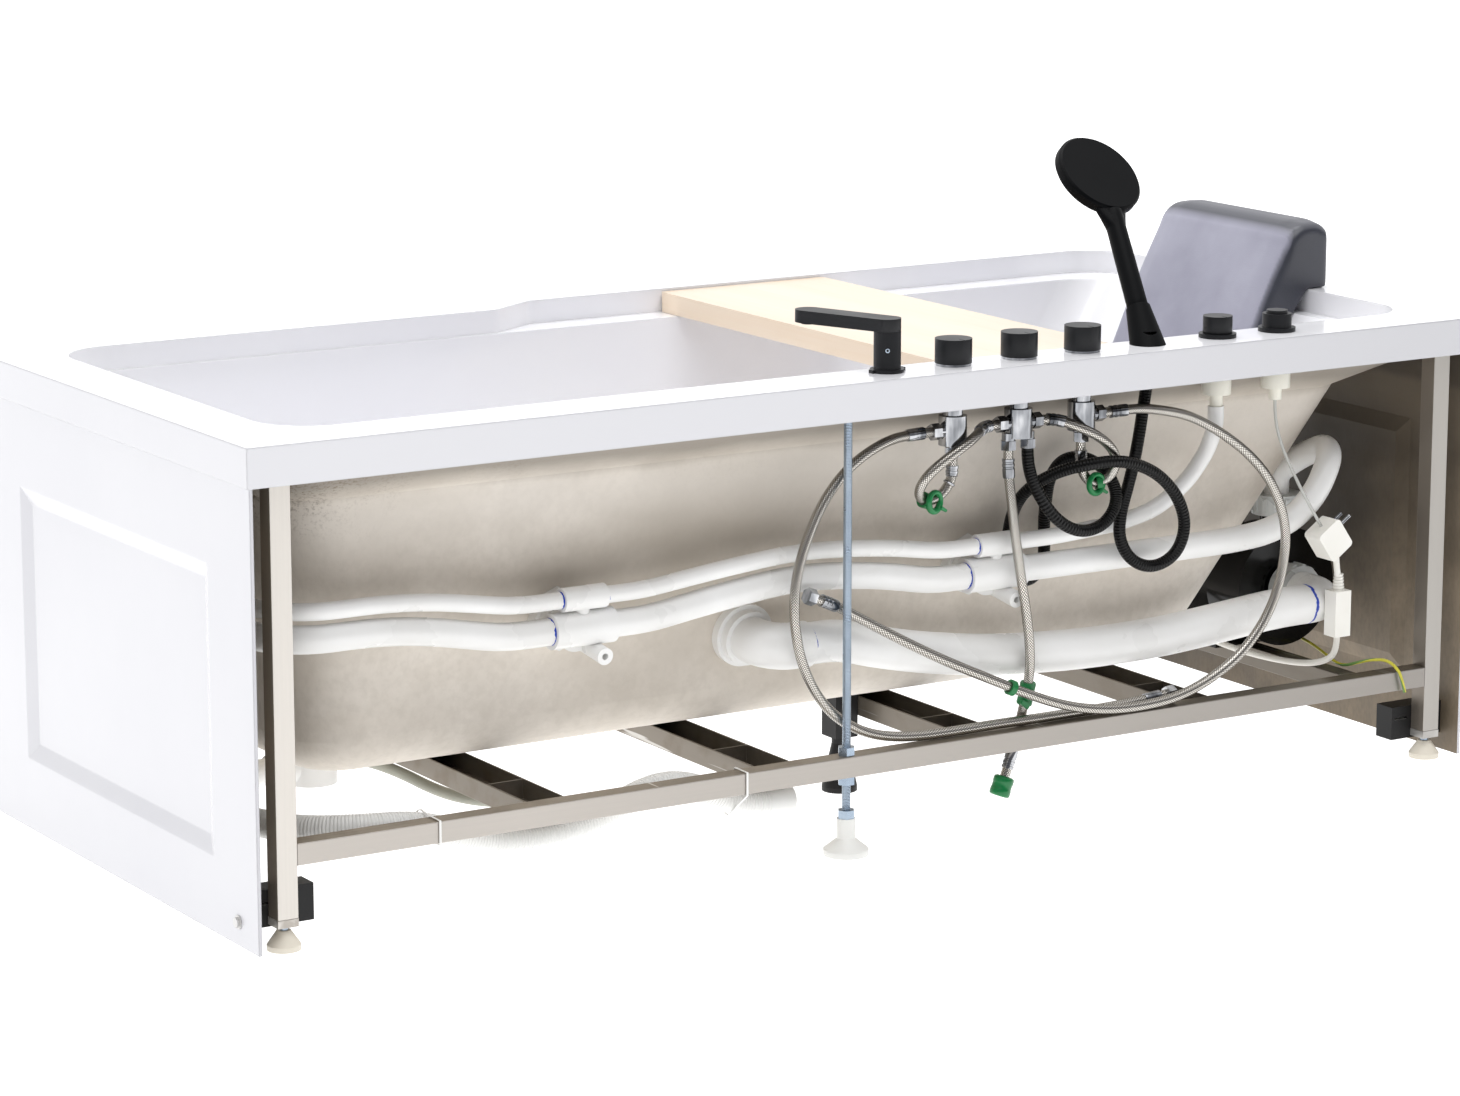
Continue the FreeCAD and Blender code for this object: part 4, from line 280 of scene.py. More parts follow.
def laminate(name, dark, middle, light, painted_rim_shade, speckle, painted_front_light):
    """Glass-fibre laminate: clouds, mottles, short strands and flecks high up, with a paler band on the belly
    below them as painted highlight, painted shade just under the rim and painted light towards the front by a
    given share.
    """
    surface = Surface(name, middle, roughness=0.55)
    clouds = surface.noise(2.6, stretch=(0.6, 1, 1.2), detail=4.0, roughness=0.5)
    mottle = surface.noise(15.0, detail=6.0, roughness=0.6)
    base = surface.ramp(clouds, [(0.3, dark), (0.45, middle), (0.66, light)])
    base = surface.mix(surface.grey_ramp(mottle, [(0.42, 0.26), (0.6, 0.0)]), base, dark)
    strands = surface.noise(190.0, stretch=(0.5, 1, 0.5), detail=3.0)
    base = surface.mix(surface.grey_ramp(strands, [(0.36, 0.16), (0.56, 0.0)]), base, dark)
    height = surface.axis("Z")
    wavy = surface.math("ADD", height, surface.math("MULTIPLY", surface.noise(5.0, detail=3.0), 0.03))
    # A paler band around the belly: painted highlight.
    painted_belly_highlight = surface.grey_ramp(wavy, [(0.40, 0.0), (0.462, 0.4), (0.482, 0.36), (0.492, 0.0)])
    base = surface.mix(painted_belly_highlight, base, light)
    # Darker just under the rim: painted shade.
    base = surface.mix(surface.grey_ramp(wavy, [(0.485, 0.0), (0.51, 0.9)]), base, painted_rim_shade)
    # Paler towards the front, by the given share: painted light.
    frontward = surface.math("MULTIPLY", surface.axis("Y"), -1.0)
    base = surface.mix(surface.grey_ramp(frontward, [(0.05, 0.0), (0.38, painted_front_light)]), base, light)
    flecks = surface.grey_ramp(surface.noise(230.0, detail=5.0, roughness=0.7), [(0.5, 0.0), (0.66, 1.0)])
    patches = surface.grey_ramp(surface.noise(6.0, detail=4.0), [(0.40, 0.0), (0.56, 1.0)])
    upper = surface.grey_ramp(height, [(0.42, 0.0), (0.50, 1.0)])
    footward = surface.math("MULTIPLY", surface.axis("X"), -1.0)
    share = surface.math("MULTIPLY", surface.grey_ramp(footward, [(0.40, 0.1), (0.72, 1.0)]), speckle)
    for part in (flecks, patches, upper):
        share = surface.math("MULTIPLY", share, part)
    base = surface.mix(share, base, tone(112, 97, 80))
    surface.colour(base)
    surface.rough(surface.grey_ramp(mottle, [(0.3, 0.46), (0.7, 0.66)]))
    surface.bump(strands, 0.16, 0.001)
    surface.bump(mottle, 0.25, 0.003)
    surface.bump(clouds, 0.3, 0.03)
    return surface.material


def stainless(name, stretch, colour, worn):
    """Mill-finish steel, stained if worn, with painted shade darkening it towards the head end; the stretch
    is small along the rolling.
    """
    surface = Surface(name, colour, roughness=0.36, metallic=0.6)
    lines = surface.noise(200.0, stretch=stretch, detail=3.0)
    drift = surface.noise(3.0, detail=3.0)
    darker = tuple(0.86 * part for part in colour)
    base = surface.mix(surface.grey_ramp(lines, [(0.3, 0.55), (0.7, 0.0)]), colour, darker)
    base = surface.mix(surface.grey_ramp(drift, [(0.4, 0.0), (0.7, 0.35)]), base, darker)
    if worn:
        stains = surface.noise(24.0, detail=5.0)
        base = surface.mix(surface.grey_ramp(stains, [(0.5, 0.0), (0.66, 0.6)]), base, tone(122, 110, 95))
        scratches = surface.noise(70.0, stretch=(1, 0.05, 1), detail=2.0)
        marks = surface.grey_ramp(scratches, [(0.68, 0.0), (0.71, 0.8)])
        base = surface.mix(marks, base, tone(244, 242, 238))
    # Darker towards the head end: painted shade.
    painted_headward_shade = tuple(0.5 * part for part in colour)
    headward = surface.grey_ramp(surface.along_rim(), [(0.2, 0.0), (0.97, 0.85)])
    surface.colour(surface.mix(headward, base, painted_headward_shade))
    surface.rough(surface.grey_ramp(lines, [(0.3, 0.3), (0.7, 0.42)]))
    surface.bump(lines, 0.08, 0.0003)
    return surface.material


def zinc(name, thread):
    """Plated steel, with a fine thread along Z if asked."""
    pitch = 1.75 * MM
    surface = Surface(name, tone(176, 190, 206), roughness=0.28, metallic=0.8)
    grain = surface.noise(18.0, detail=3.0)
    surface.colour(surface.ramp(grain, [(0.3, tone(146, 161, 178)), (0.7, tone(176, 190, 204))]))
    surface.rough(surface.grey_ramp(grain, [(0.3, 0.22), (0.7, 0.36)]))
    if thread:
        turns = surface.math("SINE", surface.math("MULTIPLY", surface.axis("Z"), 2 * math.pi / pitch))
        surface.bump(turns, 0.35, 0.0008)
    return surface.material


def chrome(name):
    surface = Surface(name, tone(176, 178, 182), roughness=0.1, metallic=1.0)
    # Dark and pale upright streaks in the colour are painted reflection; the same noise also varies roughness
    # and bump.
    smears_and_painted_reflection = surface.noise(46.0, stretch=(1, 1, 0.3), detail=3.0)
    surface.colour(surface.ramp(smears_and_painted_reflection, [(0.34, tone(84, 86, 90)), (0.5, tone(142, 144, 148)),
                                         (0.66, tone(196, 197, 200))]))
    surface.rough(surface.grey_ramp(smears_and_painted_reflection, [(0.35, 0.05), (0.7, 0.16)]))
    surface.bump(smears_and_painted_reflection, 0.12, 0.002)
    return surface.material


def plastic(name, colour, shade, roughness, grain=90.0, depth=0.05, **sockets):
    """Moulded plastic: faint colour drift and a fine moulded grain."""
    surface = Surface(name, colour, roughness=roughness, **sockets)
    drift = surface.noise(11.0, detail=4.0)
    surface.colour(surface.ramp(drift, [(0.3, shade), (0.7, colour)]))
    surface.rough(surface.grey_ramp(drift, [(0.3, max(roughness - 0.07, 0.03)), (0.7, roughness + 0.07)]))
    surface.bump(surface.noise(grain * 8, detail=2.0), depth, 0.0005)
    return surface.material


def pipe_plastic(name, joints):
    """White pipe with dark blue cement squeezed out at the joints along X."""
    surface = Surface(name, tone(240, 240, 238), roughness=0.28, Subsurface_Weight=0.06,
                      Subsurface_Radius=(0.01, 0.01, 0.01))
    drift = surface.noise(6.0, detail=5.0)
    base = surface.ramp(drift, [(0.3, tone(226, 225, 222)), (0.7, tone(243, 243, 242))])
    scuffs = surface.noise(44.0, stretch=(0.25, 1, 1), detail=5.0)
    base = surface.mix(surface.grey_ramp(scuffs, [(0.62, 0.0), (0.74, 0.1)]), base, tone(196, 190, 180))
    for joint in joints:
        base = surface.mix(surface.near("X", joint, 0.0017, ragged=0.008), base, tone(34, 66, 176))
    surface.colour(base)
    surface.rough(surface.grey_ramp(drift, [(0.3, 0.22), (0.7, 0.36)]))
    surface.bump(surface.noise(320.0, detail=2.0), 0.03, 0.0005)
    return surface.material


def braid(name, length, radius):
    """Woven steel sleeve: two sets of strands that cross, in the tube's own coordinates."""
    surface = Surface(name, tone(190, 188, 184), roughness=0.26, metallic=1.0)
    strand = 0.0034
    along = surface.math("MULTIPLY", surface.axis("X", "UV"), math.pi * round(length / strand))
    around = surface.math("MULTIPLY", surface.axis("Y", "UV"), math.pi * 2 * round(math.pi * radius / strand))
    first = surface.math("ABSOLUTE", surface.math("SINE", surface.math("ADD", along, around)))
    second = surface.math("ABSOLUTE", surface.math("SINE", surface.math("SUBTRACT", along, around)))
    weave = surface.math("MULTIPLY", first, second)
    # The weave is painted into the colour: painted shade in the gaps between the strands and painted
    # highlight on their crowns.
    surface.colour(surface.ramp(weave, [(0.04, tone(66, 60, 53)), (0.3, tone(150, 145, 137)),
                                        (0.8, tone(226, 223, 217))]))
    surface.rough(surface.grey_ramp(weave, [(0.1, 0.42), (0.8, 0.18)]))
    surface.bump(weave, 0.22, 0.0006)
    return surface.material


def ringed_rubber(name, colour, length, pitch, roughness):
    """A hose with fine rings along it."""
    surface = Surface(name, colour, roughness=roughness, Specular_IOR_Level=0.2)
    turns = surface.math("MULTIPLY", surface.axis("X", "UV"), 2 * math.pi * round(length / pitch))
    rings = surface.math("SINE", turns)
    drift = surface.noise(40.0, detail=3.0)
    surface.rough(surface.grey_ramp(drift, [(0.3, roughness - 0.06), (0.7, roughness + 0.1)]))
    surface.bump(rings, 0.6, 0.001)
    return surface.material


def earth_stripe():
    """Yellow insulation with a green stripe wound slowly along the wire."""
    surface = Surface("earth_stripe", tone(196, 188, 52), roughness=0.4)
    twist = surface.math("MULTIPLY", surface.axis("X", "UV"), 1.6)
    wound = surface.math("ADD", surface.axis("Y", "UV"), twist)
    stripe = surface.math("LESS_THAN", surface.math("FRACT", wound), 0.36)
    shade = surface.noise(60.0, detail=3.0)
    yellow = surface.ramp(shade, [(0.3, tone(178, 170, 44)), (0.7, tone(208, 200, 66))])
    surface.colour(surface.mix(stripe, yellow, tone(92, 132, 58)))
    return surface.material


def pillow_skin():
    """Charcoal leather, with its front slope made paler as painted sheen."""
    surface = Surface("pillow_grey", tone(60, 62, 71), roughness=0.36, Specular_IOR_Level=0.5,
                      Coat_Weight=0.3, Coat_Roughness=0.3, Coat_Tint=(0.92, 0.92, 1.0, 1))
    drift = surface.noise(9.0, detail=4.0)
    base = surface.ramp(drift, [(0.3, tone(46, 48, 56)), (0.7, tone(58, 60, 69))])
    # A paler colour for the faces that look towards the foot end: painted sheen.
    worn = surface.ramp(drift, [(0.3, tone(140, 140, 154)), (0.7, tone(160, 160, 173))])
    facing = surface.math("MULTIPLY", surface.axis("X", source="Normal"), -1.0)
    surface.colour(surface.mix(surface.grey_ramp(facing, [(0.55, 0.0), (0.82, 1.0)]), base, worn))
    grain = surface.cells(620.0)
    surface.rough(surface.grey_ramp(drift, [(0.3, 0.36), (0.7, 0.48)]))
    surface.bump(grain, 0.18, 0.0006)
    return surface.material


def board_wood(name, share):
    """Pale varnished wood with a faint straight grain along its length; a share below one darkens it as
    painted shade.
    """
    surface = Surface(name, tone(246, 226, 200), roughness=0.34, Coat_Weight=0.25, Coat_Roughness=0.15)
    rings = surface.noise(2.4, stretch=(7, 0.4, 7), detail=3.0)
    lines = surface.noise(34.0, stretch=(6, 0.15, 6), detail=3.0)
    base = surface.ramp(rings, [(0.3, tone(245, 225, 200)), (0.55, tone(248, 232, 211)),
                                (0.75, tone(250, 238, 221))])
    base = surface.mix(surface.grey_ramp(lines, [(0.4, 0.12), (0.55, 0.0)]), base, tone(238, 208, 172))
    surface.colour(surface.mix(1.0 - share, base, tone(150, 132, 110)))
    surface.rough(surface.grey_ramp(lines, [(0.3, 0.28), (0.7, 0.4)]))
    surface.bump(lines, 0.04, 0.0004)
    return surface.material


# Dressing the solids

def dress(node, *materials):
    """The first material all over the node; others are set face by face."""
    data = NODES[node].data
    data.materials.clear()
    for material in materials:
        data.materials.append(material)


def paint(node, index, test):
    """Give the faces that pass a test of centre and normal another of the node's materials."""
    for face in NODES[node].data.polygons:
        if test(face.center, face.normal):
            face.material_index = index


def soften(node, width):
    """Small rounded edges, as on the moulded or formed piece."""
    weld = NODES[node].modifiers.new("weld", "WELD")
    weld.merge_threshold = 0.00002
    bevel = NODES[node].modifiers.new("edges", "BEVEL")
    bevel.width = width
    bevel.segments = 3
    bevel.limit_method = "ANGLE"
    bevel.angle_limit = math.radians(32)
    bevel.harden_normals = True
    bevel.use_clamp_overlap = True


# Cords and hoses: the routes of the solids, in millimetres

HOT_HOSE = [(57, -352, 487.5), (32, -352, 487.5), (-5, -352, 484), (-54, -354, 462), (-90, -357, 430),
            (-115, -360, 392), (-135, -363, 345), (-142, -366, 300), (-135, -366, 250), (-118, -364, 210),
            (-93, -361, 176), (-60, -359, 150), (-20, -361, 133), (30, -364, 126.4), (90, -366, 126.4),
            (150, -365.5, 127), (204, -366.5, 126.5), (258, -366, 126.4), (311, -365.5, 126.6),
            (356, -365, 127.8), (400, -364, 131)]
COLD_HOSE = [(305, -352, 487.5), (325, -352, 487.5), (352, -366, 491), (385, -377, 486), (420, -379, 476),
             (465, -379, 452), (510, -379, 420), (544, -379, 383), (564, -379, 340), (569, -379, 300),
             (558, -379, 246), (535, -379, 205), (500, -379, 170), (455, -381, 147), (410, -384, 133),
             (360, -384, 127), (300, -383, 128), (245, -381, 138), (190, -378, 158), (130, -374, 186),
             (72, -370, 213), (15, -364, 243), (-42, -359, 276), (-80, -357, 298), (-108, -357, 309)]
INLET_HOSE = [(168, -352, 456), (168, -352, 432), (170, -357, 395), (174, -361, 350), (182, -362, 300),
              (192, -362, 250), (198, -361, 205), (199, -357, 172), (196, -352, 143), (190, -349, 112),
              (180, -349, 80), (170, -350, 55)]
FIRST_LINK = [(151, -352, 487.5), (131, -352, 487.5), (113, -368, 482), (88, -378.5, 473), (60, -379, 459),
              (38, -373, 441), (32, -365, 424), (39, -357, 411), (55, -353, 405), (73, -352, 411),
              (86, -352, 426), (88, -352, 441), (88, -352, 456)]
SECOND_LINK = [(213, -352, 487.5), (234, -352, 487.5), (252, -370, 480), (276, -380, 468), (297, -379, 453),
               (311, -374, 436), (314, -366, 418), (305, -359, 405), (290, -354, 403), (278, -352, 414),
               (274, -352, 434), (274, -352, 456)]
SHOWER_HOSE = [(196, -352, 456), (196, -352, 436), (201, -361, 408), (222, -370, 371), (255, -373, 350),
               (290, -373, 352), (314, -370, 372), (322, -360, 395), (316, -342, 418), (296, -328, 432),
               (270, -320, 430), (256, -314, 408), (257, -306, 380), (262, -295, 350), (268, -289, 320),
               (266, -289, 296), (252, -289, 279), (233, -289, 277), (217, -289, 290), (211, -290, 314),
               (209, -296, 344), (203, -314, 372), (202, -333, 395), (216, -347, 412), (238, -364, 426),
               (264, -384, 434), (300, -390, 436), (335, -391, 427), (370, -388, 408), (400, -384, 376),
               (413, -380, 340), (402, -375, 306), (372, -368, 292), (343, -362, 304), (328, -358, 332),
               (331, -357, 363), (340, -357, 390), (350, -356, 420), (358, -355, 454), (364, -354, 486),
               (369, -354, 516), (370.44, -354.42, 541), (370.44, -354.42, 561.86), (373.23, -342.34, 577.56)]
MAINS_CORD = [(626, -60, 200), (592, -60, 200), (572, -86, 190), (576, -126, 168), (592, -172, 148),
              (614, -222, 134), (637, -272, 127.5), (655, -316, 128), (665, -344, 136), (668, -360.3, 151),
              (668, -360.3, 172)]
EARTH_WIRE = [(735, -160, 133), (735, -192, 133), (729, -238, 129), (714, -284, 126), (700, -322, 124.5),
              (694, -347, 127), (706, -358, 132), (722, -365, 135), (737, -377, 135), (745, -389, 124),
              (751, -390.5, 108), (755, -390.8, 94)]
SWITCH_TUBE = [(567, -352, 480), (567, -352, 456), (577, -355, 420), (594, -359, 384), (613.95, -363, 347.2),
               (635.95, -363, 315.2)]
BLEED_TUBE = [(-548, 0, 95), (-522, 0, 95), (-494, -8, 85), (-470, -24, 73), (-453, -48, 62), (-439, -76, 56),
              (-423, -103, 54), (-404, -126, 54), (-387, -141, 54)]
DRAIN_HOSE = [(-640, 0, 95), (-692, 0, 95), (-745, -46, 96), (-768, -130, 99), (-768, -215, 103),
              (-748, -295, 108), (-690, -338, 112), (-620, -343.5, 108), (-560, -343.5, 84),
              (-510, -343.5, 74), (-440, -343.5, 73), (-385, -343.5, 86), (-320, -343.5, 110),
              (-270, -343.5, 106), (-222, -343.5, 80), (-170, -343.5, 70), (-132, -343.5, 70)]


def route_curve(name, route, radius):
    """A smooth curve along a cord's route; it cuts the route's corners a little."""
    data = bpy.data.curves.new(name, "CURVE")
    data.dimensions = "3D"
    line = data.splines.new("NURBS")
    line.points.add(len(route) - 1)
    for point, place in zip(line.points, route):
        point.co = (*(Vector(place) * MM), 1)
    line.order_u = 3
    line.use_endpoint_u = True
    line.resolution_u = 8
    data.bevel_depth = radius
    data.bevel_resolution = 5
    data.use_fill_caps = radius > 0
    piece = bpy.data.objects.new(name, data)
    SCENE.collection.objects.link(piece)
    return piece


def add_cord(name, node, route, radius, material):
    piece = route_curve(name, route, radius)
    piece.data.materials.append(material)
    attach(piece, "tub")
    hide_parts(node)


def route_points(name, route):
    """Points along the route's smooth curve."""
    guide = route_curve(name, route, 0)
    guide.data.splines[0].resolution_u = 40
    line = bpy.data.meshes.new_from_object(guide)
    points = [vertex.co.copy() for vertex in line.vertices]
    bpy.data.meshes.remove(line)
    bpy.data.objects.remove(guide)
    return points


ROUND_SIDES = 28
TURNS = [2 * math.pi * side / ROUND_SIDES for side in range(ROUND_SIDES)]


def distances(points):
    """How far along a line each of its points lies."""
    reach = [0.0]
    for before, after in zip(points, points[1:]):
        reach.append(reach[-1] + (after - before).length)
    return reach


def join_loops(mesh, loops):
    """Faces between each closed loop of points and the next."""
    for first, second in zip(loops, loops[1:]):
        for step in range(len(first)):
            following = (step + 1) % len(first)
            mesh.faces.new((first[step], first[following], second[following], second[step]))


def close_tube(mesh, rings):
    """Faces along a row of rings and over its two ends."""
    join_loops(mesh, rings)
    mesh.faces.new(reversed(rings[0]))
    mesh.faces.new(rings[-1])


def finish_mesh(name, mesh, material):
    """Turn mesh work into a piece of the scene that rides on the tub."""
    bmesh.ops.recalc_face_normals(mesh, faces=mesh.faces)
    data = bpy.data.meshes.new(name)
    mesh.to_mesh(data)
    mesh.free()
    data.polygons.foreach_set("use_smooth", [True] * len(data.polygons))
    data.set_sharp_from_angle(angle=math.radians(42))
    data.materials.append(material)
    piece = bpy.data.objects.new(name, data)
    SCENE.collection.objects.link(piece)
    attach(piece, "tub")
    return piece


def ring_tube(name, points, stations, material):
    """A round piece along a line of points; each station is a distance along the line and a radius."""
    reach = distances(points)
    last = len(points) - 1
    mesh = bmesh.new()
    rings = []
    for distance, radius in stations:
        index = min(max(bisect.bisect(reach, distance) - 1, 0), last - 1)
        share = (distance - reach[index]) / max(reach[index + 1] - reach[index], 1e-9)
        centre = points[index].lerp(points[index + 1], share)
        heading = (points[min(index + 2, last)] - points[max(index - 1, 0)]).normalized()
        level = Vector((1, 0, 0)) if abs(heading.z) > 0.95 else Vector((0, 0, 1))
        across = heading.cross(level).normalized()
        upward = across.cross(heading)
        rings.append([mesh.verts.new(centre + (across * math.cos(turn) + upward * math.sin(turn)) * radius)
                      for turn in TURNS])
    close_tube(mesh, rings)
    return finish_mesh(name, mesh, material)


def add_ribbed_hose(name, node, route, crest, groove, pitch, material):
    """Corrugated hose: rings along the route, four to a rib, with plain cuffs and an open end."""
    points = route_points(name + "_guide", route)
    total = distances(points)[-1]
    cuff = 2 * crest
    ribs = int((total - 2 * cuff) / pitch)
    step = (total - 2 * cuff) / ribs
    stations = [(0.0, crest), (cuff, crest)]
    for rib in range(ribs):
        start = cuff + rib * step
        stations += [(start + 0.15 * step, groove), (start + 0.35 * step, groove),
                     (start + 0.55 * step, crest), (start + 0.9 * step, crest)]
    bore = 0.82 * crest
    stations += [(total - cuff, crest), (total, crest), (total, bore), (total - cuff, bore)]
    piece = ring_tube(name, points, stations, material)
    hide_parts(node)


# Distance and radius pairs along a crimped sleeve, in millimetres
SLEEVE = [(0, 5.9), (0, 7.6), (3, 7.6), (3.6, 7.0), (5.4, 7.0), (6, 7.6), (9, 7.6), (9.6, 7.0), (11.4, 7.0),
          (12, 7.6), (21, 7.5), (23, 6.9), (23, 5.9)]
NUT_LENGTH = 11
BRAID_RADIUS = 0.006


def add_sleeves(name, route, material):
    """The crimped sleeves at both ends of a braided hose, past its nuts."""
    points = route_points(name + "_guide", route)
    stations = [((NUT_LENGTH + distance) * MM, radius * MM) for distance, radius in SLEEVE]
    ring_tube(name + "_near", points, stations, material)
    ring_tube(name + "_far", points[::-1], stations, material)


def add_cords():
    sleeve = chrome("sleeve_steel")
    for name, node, route, length, far_end in (
            ("hot_hose_braid", "hot_hose", HOT_HOSE, 0.946, "fitting"),
            ("cold_hose_braid", "cold_hose", COLD_HOSE, 1.170, "fitting"),
            ("inlet_hose_braid", "inlet_hose", INLET_HOSE, 0.408, "fitting"),
            ("first_link_braid", "first_link_hose", FIRST_LINK, 0.252, "object"),
            ("second_link_braid", "second_link_hose", SECOND_LINK, 0.231, "object")):
        woven = braid(name, length, BRAID_RADIUS)
        add_cord(name, node, route, BRAID_RADIUS, woven)
        add_sleeves(name + "_sleeve", route, sleeve)
    shower_length = 1.27
    rubber = ringed_rubber("hose_black", tone(6, 6, 6), length=shower_length, pitch=0.0034, roughness=0.26)
    add_cord("shower_hose_skin", "shower_hose", SHOWER_HOSE, radius=0.0075,
             material=rubber)
    pale = plastic("cord_white", tone(228, 226, 219), tone(216, 213, 205), 0.45)
    add_cord("mains_cord_skin", "mains_cord", MAINS_CORD, radius=0.004, material=pale)
    add_cord("earth_wire_skin", "earth_wire", EARTH_WIRE, radius=0.002, material=earth_stripe())
    clear = plastic("tube_clear", tone(214, 214, 210), tone(202, 202, 198), 0.2, Transmission_Weight=0.3)
    add_cord("switch_tube_skin", "switch_tube", SWITCH_TUBE, radius=0.002, material=clear)
    grey = plastic("tube_grey", tone(172, 172, 160), tone(150, 150, 138), 0.45)
    add_cord("bleed_tube_skin", "bleed_tube", BLEED_TUBE, radius=0.007, material=grey)
    ribbed = plastic("hose_white", tone(240, 240, 238), tone(230, 230, 227), 0.4, Subsurface_Weight=0.1,
                     Subsurface_Radius=(0.01, 0.01, 0.01))
    add_ribbed_hose("drain_hose_skin", "drain_hose", DRAIN_HOSE, crest=0.016, groove=0.0153, pitch=0.0038,
                    material=ribbed)


# Small pieces carried by the tub

def turned(name, profile, place, axis, material):
    """A turned piece: radius and height pairs, in millimetres, about an axis through a place."""
    mesh = bmesh.new()
    spin = Vector((0, 0, 1)).rotation_difference(Vector(axis)).to_matrix()
    rings = []
    for radius, height in profile:
        circle = [Vector((radius * math.cos(turn), radius * math.sin(turn), height)) for turn in TURNS]
        rings.append([mesh.verts.new((Vector(place) + spin @ spot) * MM) for spot in circle])
    close_tube(mesh, rings)
    finish_mesh(name, mesh, material)


def add_tie(name, x, outline, material):
    """A flat cable tie in an X plane round a closed outline of Y and Z."""
    mesh = bmesh.new()
    half, thick = 1.3, 0.8
    centre = Vector((0, sum(y for y, z in outline) / len(outline), sum(z for y, z in outline) / len(outline)))
    loops = []
    for side, grow in ((-half, 0.0), (half, 0.0), (half, thick), (-half, thick)):
        loop = []
        for y, z in outline:
            away = Vector((0, y, z)) - centre
            spot = centre + away * (1 + grow / away.length)
            loop.append(mesh.verts.new(Vector((x + side, spot.y, spot.z)) * MM))
        loops.append(loop)
    join_loops(mesh, loops + loops[:1])
    finish_mesh(name, mesh, material)


def add_tab(name, place, size, turn, material):
    """A small tapered grip tab with rounded edges, turned about Y."""
    mesh = bmesh.new()
    bmesh.ops.create_cube(mesh, size=1)
    for vert in mesh.verts:
        taper = 0.7 if vert.co.x > 0 else 1.0
        vert.co = Vector((vert.co.x * size[0], vert.co.y * size[1] * taper, vert.co.z * size[2] * taper))
    bmesh.ops.bevel(mesh, geom=mesh.edges[:], offset=0.9, segments=2, affect="EDGES", clamp_overlap=True)
    turning = Matrix.Rotation(math.radians(turn), 4, "Y")
    mesh.transform(Matrix.Scale(MM, 4) @ Matrix.Translation(place) @ turning)
    finish_mesh(name, mesh, material)


def add_ring(name, centre, radius, thickness, turn, material):
    """A round plastic ring facing the service side, turned about Z, thicker at its foot."""
    mesh = bmesh.new()
    around, about = 36, 12
    loops = []
    for step in range(around):
        angle = 2 * math.pi * step / around
        outward = Vector((math.cos(angle), 0, math.sin(angle)))
        heavy = thickness * (1.0 + 0.25 * max(0.0, -math.sin(angle)))
        loops.append([mesh.verts.new(outward * radius + outward * heavy * math.cos(2 * math.pi * side / about)
                                     + Vector((0, heavy * 1.3 * math.sin(2 * math.pi * side / about), 0)))
                      for side in range(about)])
    join_loops(mesh, loops + loops[:1])
    turning = Matrix.Rotation(math.radians(turn), 4, "Z")
    mesh.transform(Matrix.Scale(MM, 4) @ Matrix.Translation(centre) @ turning)
    finish_mesh(name, mesh, material)


def tie_outline(hose_z):
    """A closed loop of Y and Z drawn tight round the front rail and the waste hose beside it."""
    rail_front, rail_back, rail_low, rail_top = -386.2, -359, 94, 121.2
    hose_y, reach, sag = -343.5, 17.2, 3
    over_hose = max(rail_top, hose_z + reach - sag)
    outline = [(rail_front, rail_low), (rail_front, rail_top), (rail_back, over_hose)]
    for degrees in range(80, -101, -15):
        angle = math.radians(degrees)
        outline.append((hose_y + reach * math.cos(angle), hose_z + reach * math.sin(angle)))
    return outline


def add_details():
    nylon = plastic("tie_white", tone(246, 246, 244), tone(238, 238, 235), 0.35)
    for name, x, hose_z in (("left_tie", -617, 106.5), ("right_tie", -217, 79)):
        add_tie(name, x, tie_outline(hose_z), nylon)
    green = plastic("ring_green", tone(6, 128, 66), tone(5, 106, 54), 0.3)
    for name, centre, turn in (("first_ring", (57, -361, 406), 20), ("second_ring", (290, -362, 404), 10)):
        add_ring(name, centre, radius=11.5, thickness=3.0, turn=turn, material=green)
        tail = (centre[0] + 12, centre[1] - 1, centre[2] - 10)
        add_tab(name + "_tail", tail, size=(11, 5, 5), turn=30, material=green)
    points = route_points("clip_guide", INLET_HOSE)
    band_top = 0.170
    start = min(range(len(points)), key=lambda index: abs(points[index].z - band_top))
    band = [(0, 6.1), (0, 9.2), (2, 9.8), (14, 9.2), (26, 9.8), (28, 9.2), (28, 6.1)]
    stations = [(at * MM, radius * MM) for at, radius in band]
    ring_tube("third_ring", points[start:], stations, green)
    add_tab("third_ring_tail", (188, -364, 146), size=(14, 6, 8), turn=215, material=green)
    cap = [(9.5, -1.0), (11.6, 0.4), (12.6, 2.0), (12.6, 7.0), (12.1, 8.0), (12.1, 14.0), (12.6, 15.0),
           (12.6, 21.5), (11.6, 23.0), (9.0, 23.8), (3.0, 24.0)]
    heading = (Vector(INLET_HOSE[-1]) - Vector(INLET_HOSE[-2])).normalized()
    turned("inlet_cap_skin", cap, INLET_HOSE[-1], heading, green)
    steel = zinc("screw_zinc", thread=False)
    screw = [(2.6, -1.0), (2.6, 0.15), (1.9, 0.3), (1.5, 0.3), (1.5, -0.6), (0.3, -0.7)]
    turned("spout_grub_screw", screw, place=(-13.5, -365.55, 592), axis=(-0.53, -0.848, 0), material=steel)
    ivory = plastic("relief_ivory", tone(238, 236, 230), tone(228, 226, 218), 0.4)
    relief = [(8.2, -3.0), (8.2, 1.0)]
    for rib in range(5):
        relief += [(6.4 - 0.3 * rib, 1.6 + 4 * rib), (6.4 - 0.3 * rib, 2.6 + 4 * rib),
                   (7.4 - 0.35 * rib, 3.2 + 4 * rib), (7.4 - 0.35 * rib, 4.8 + 4 * rib)]
    turned("plug_relief", relief, place=(668, -360.3, 230), axis=(0, 0, 1), material=ivory)


# Headrest: the solid's form, rounded and filled out

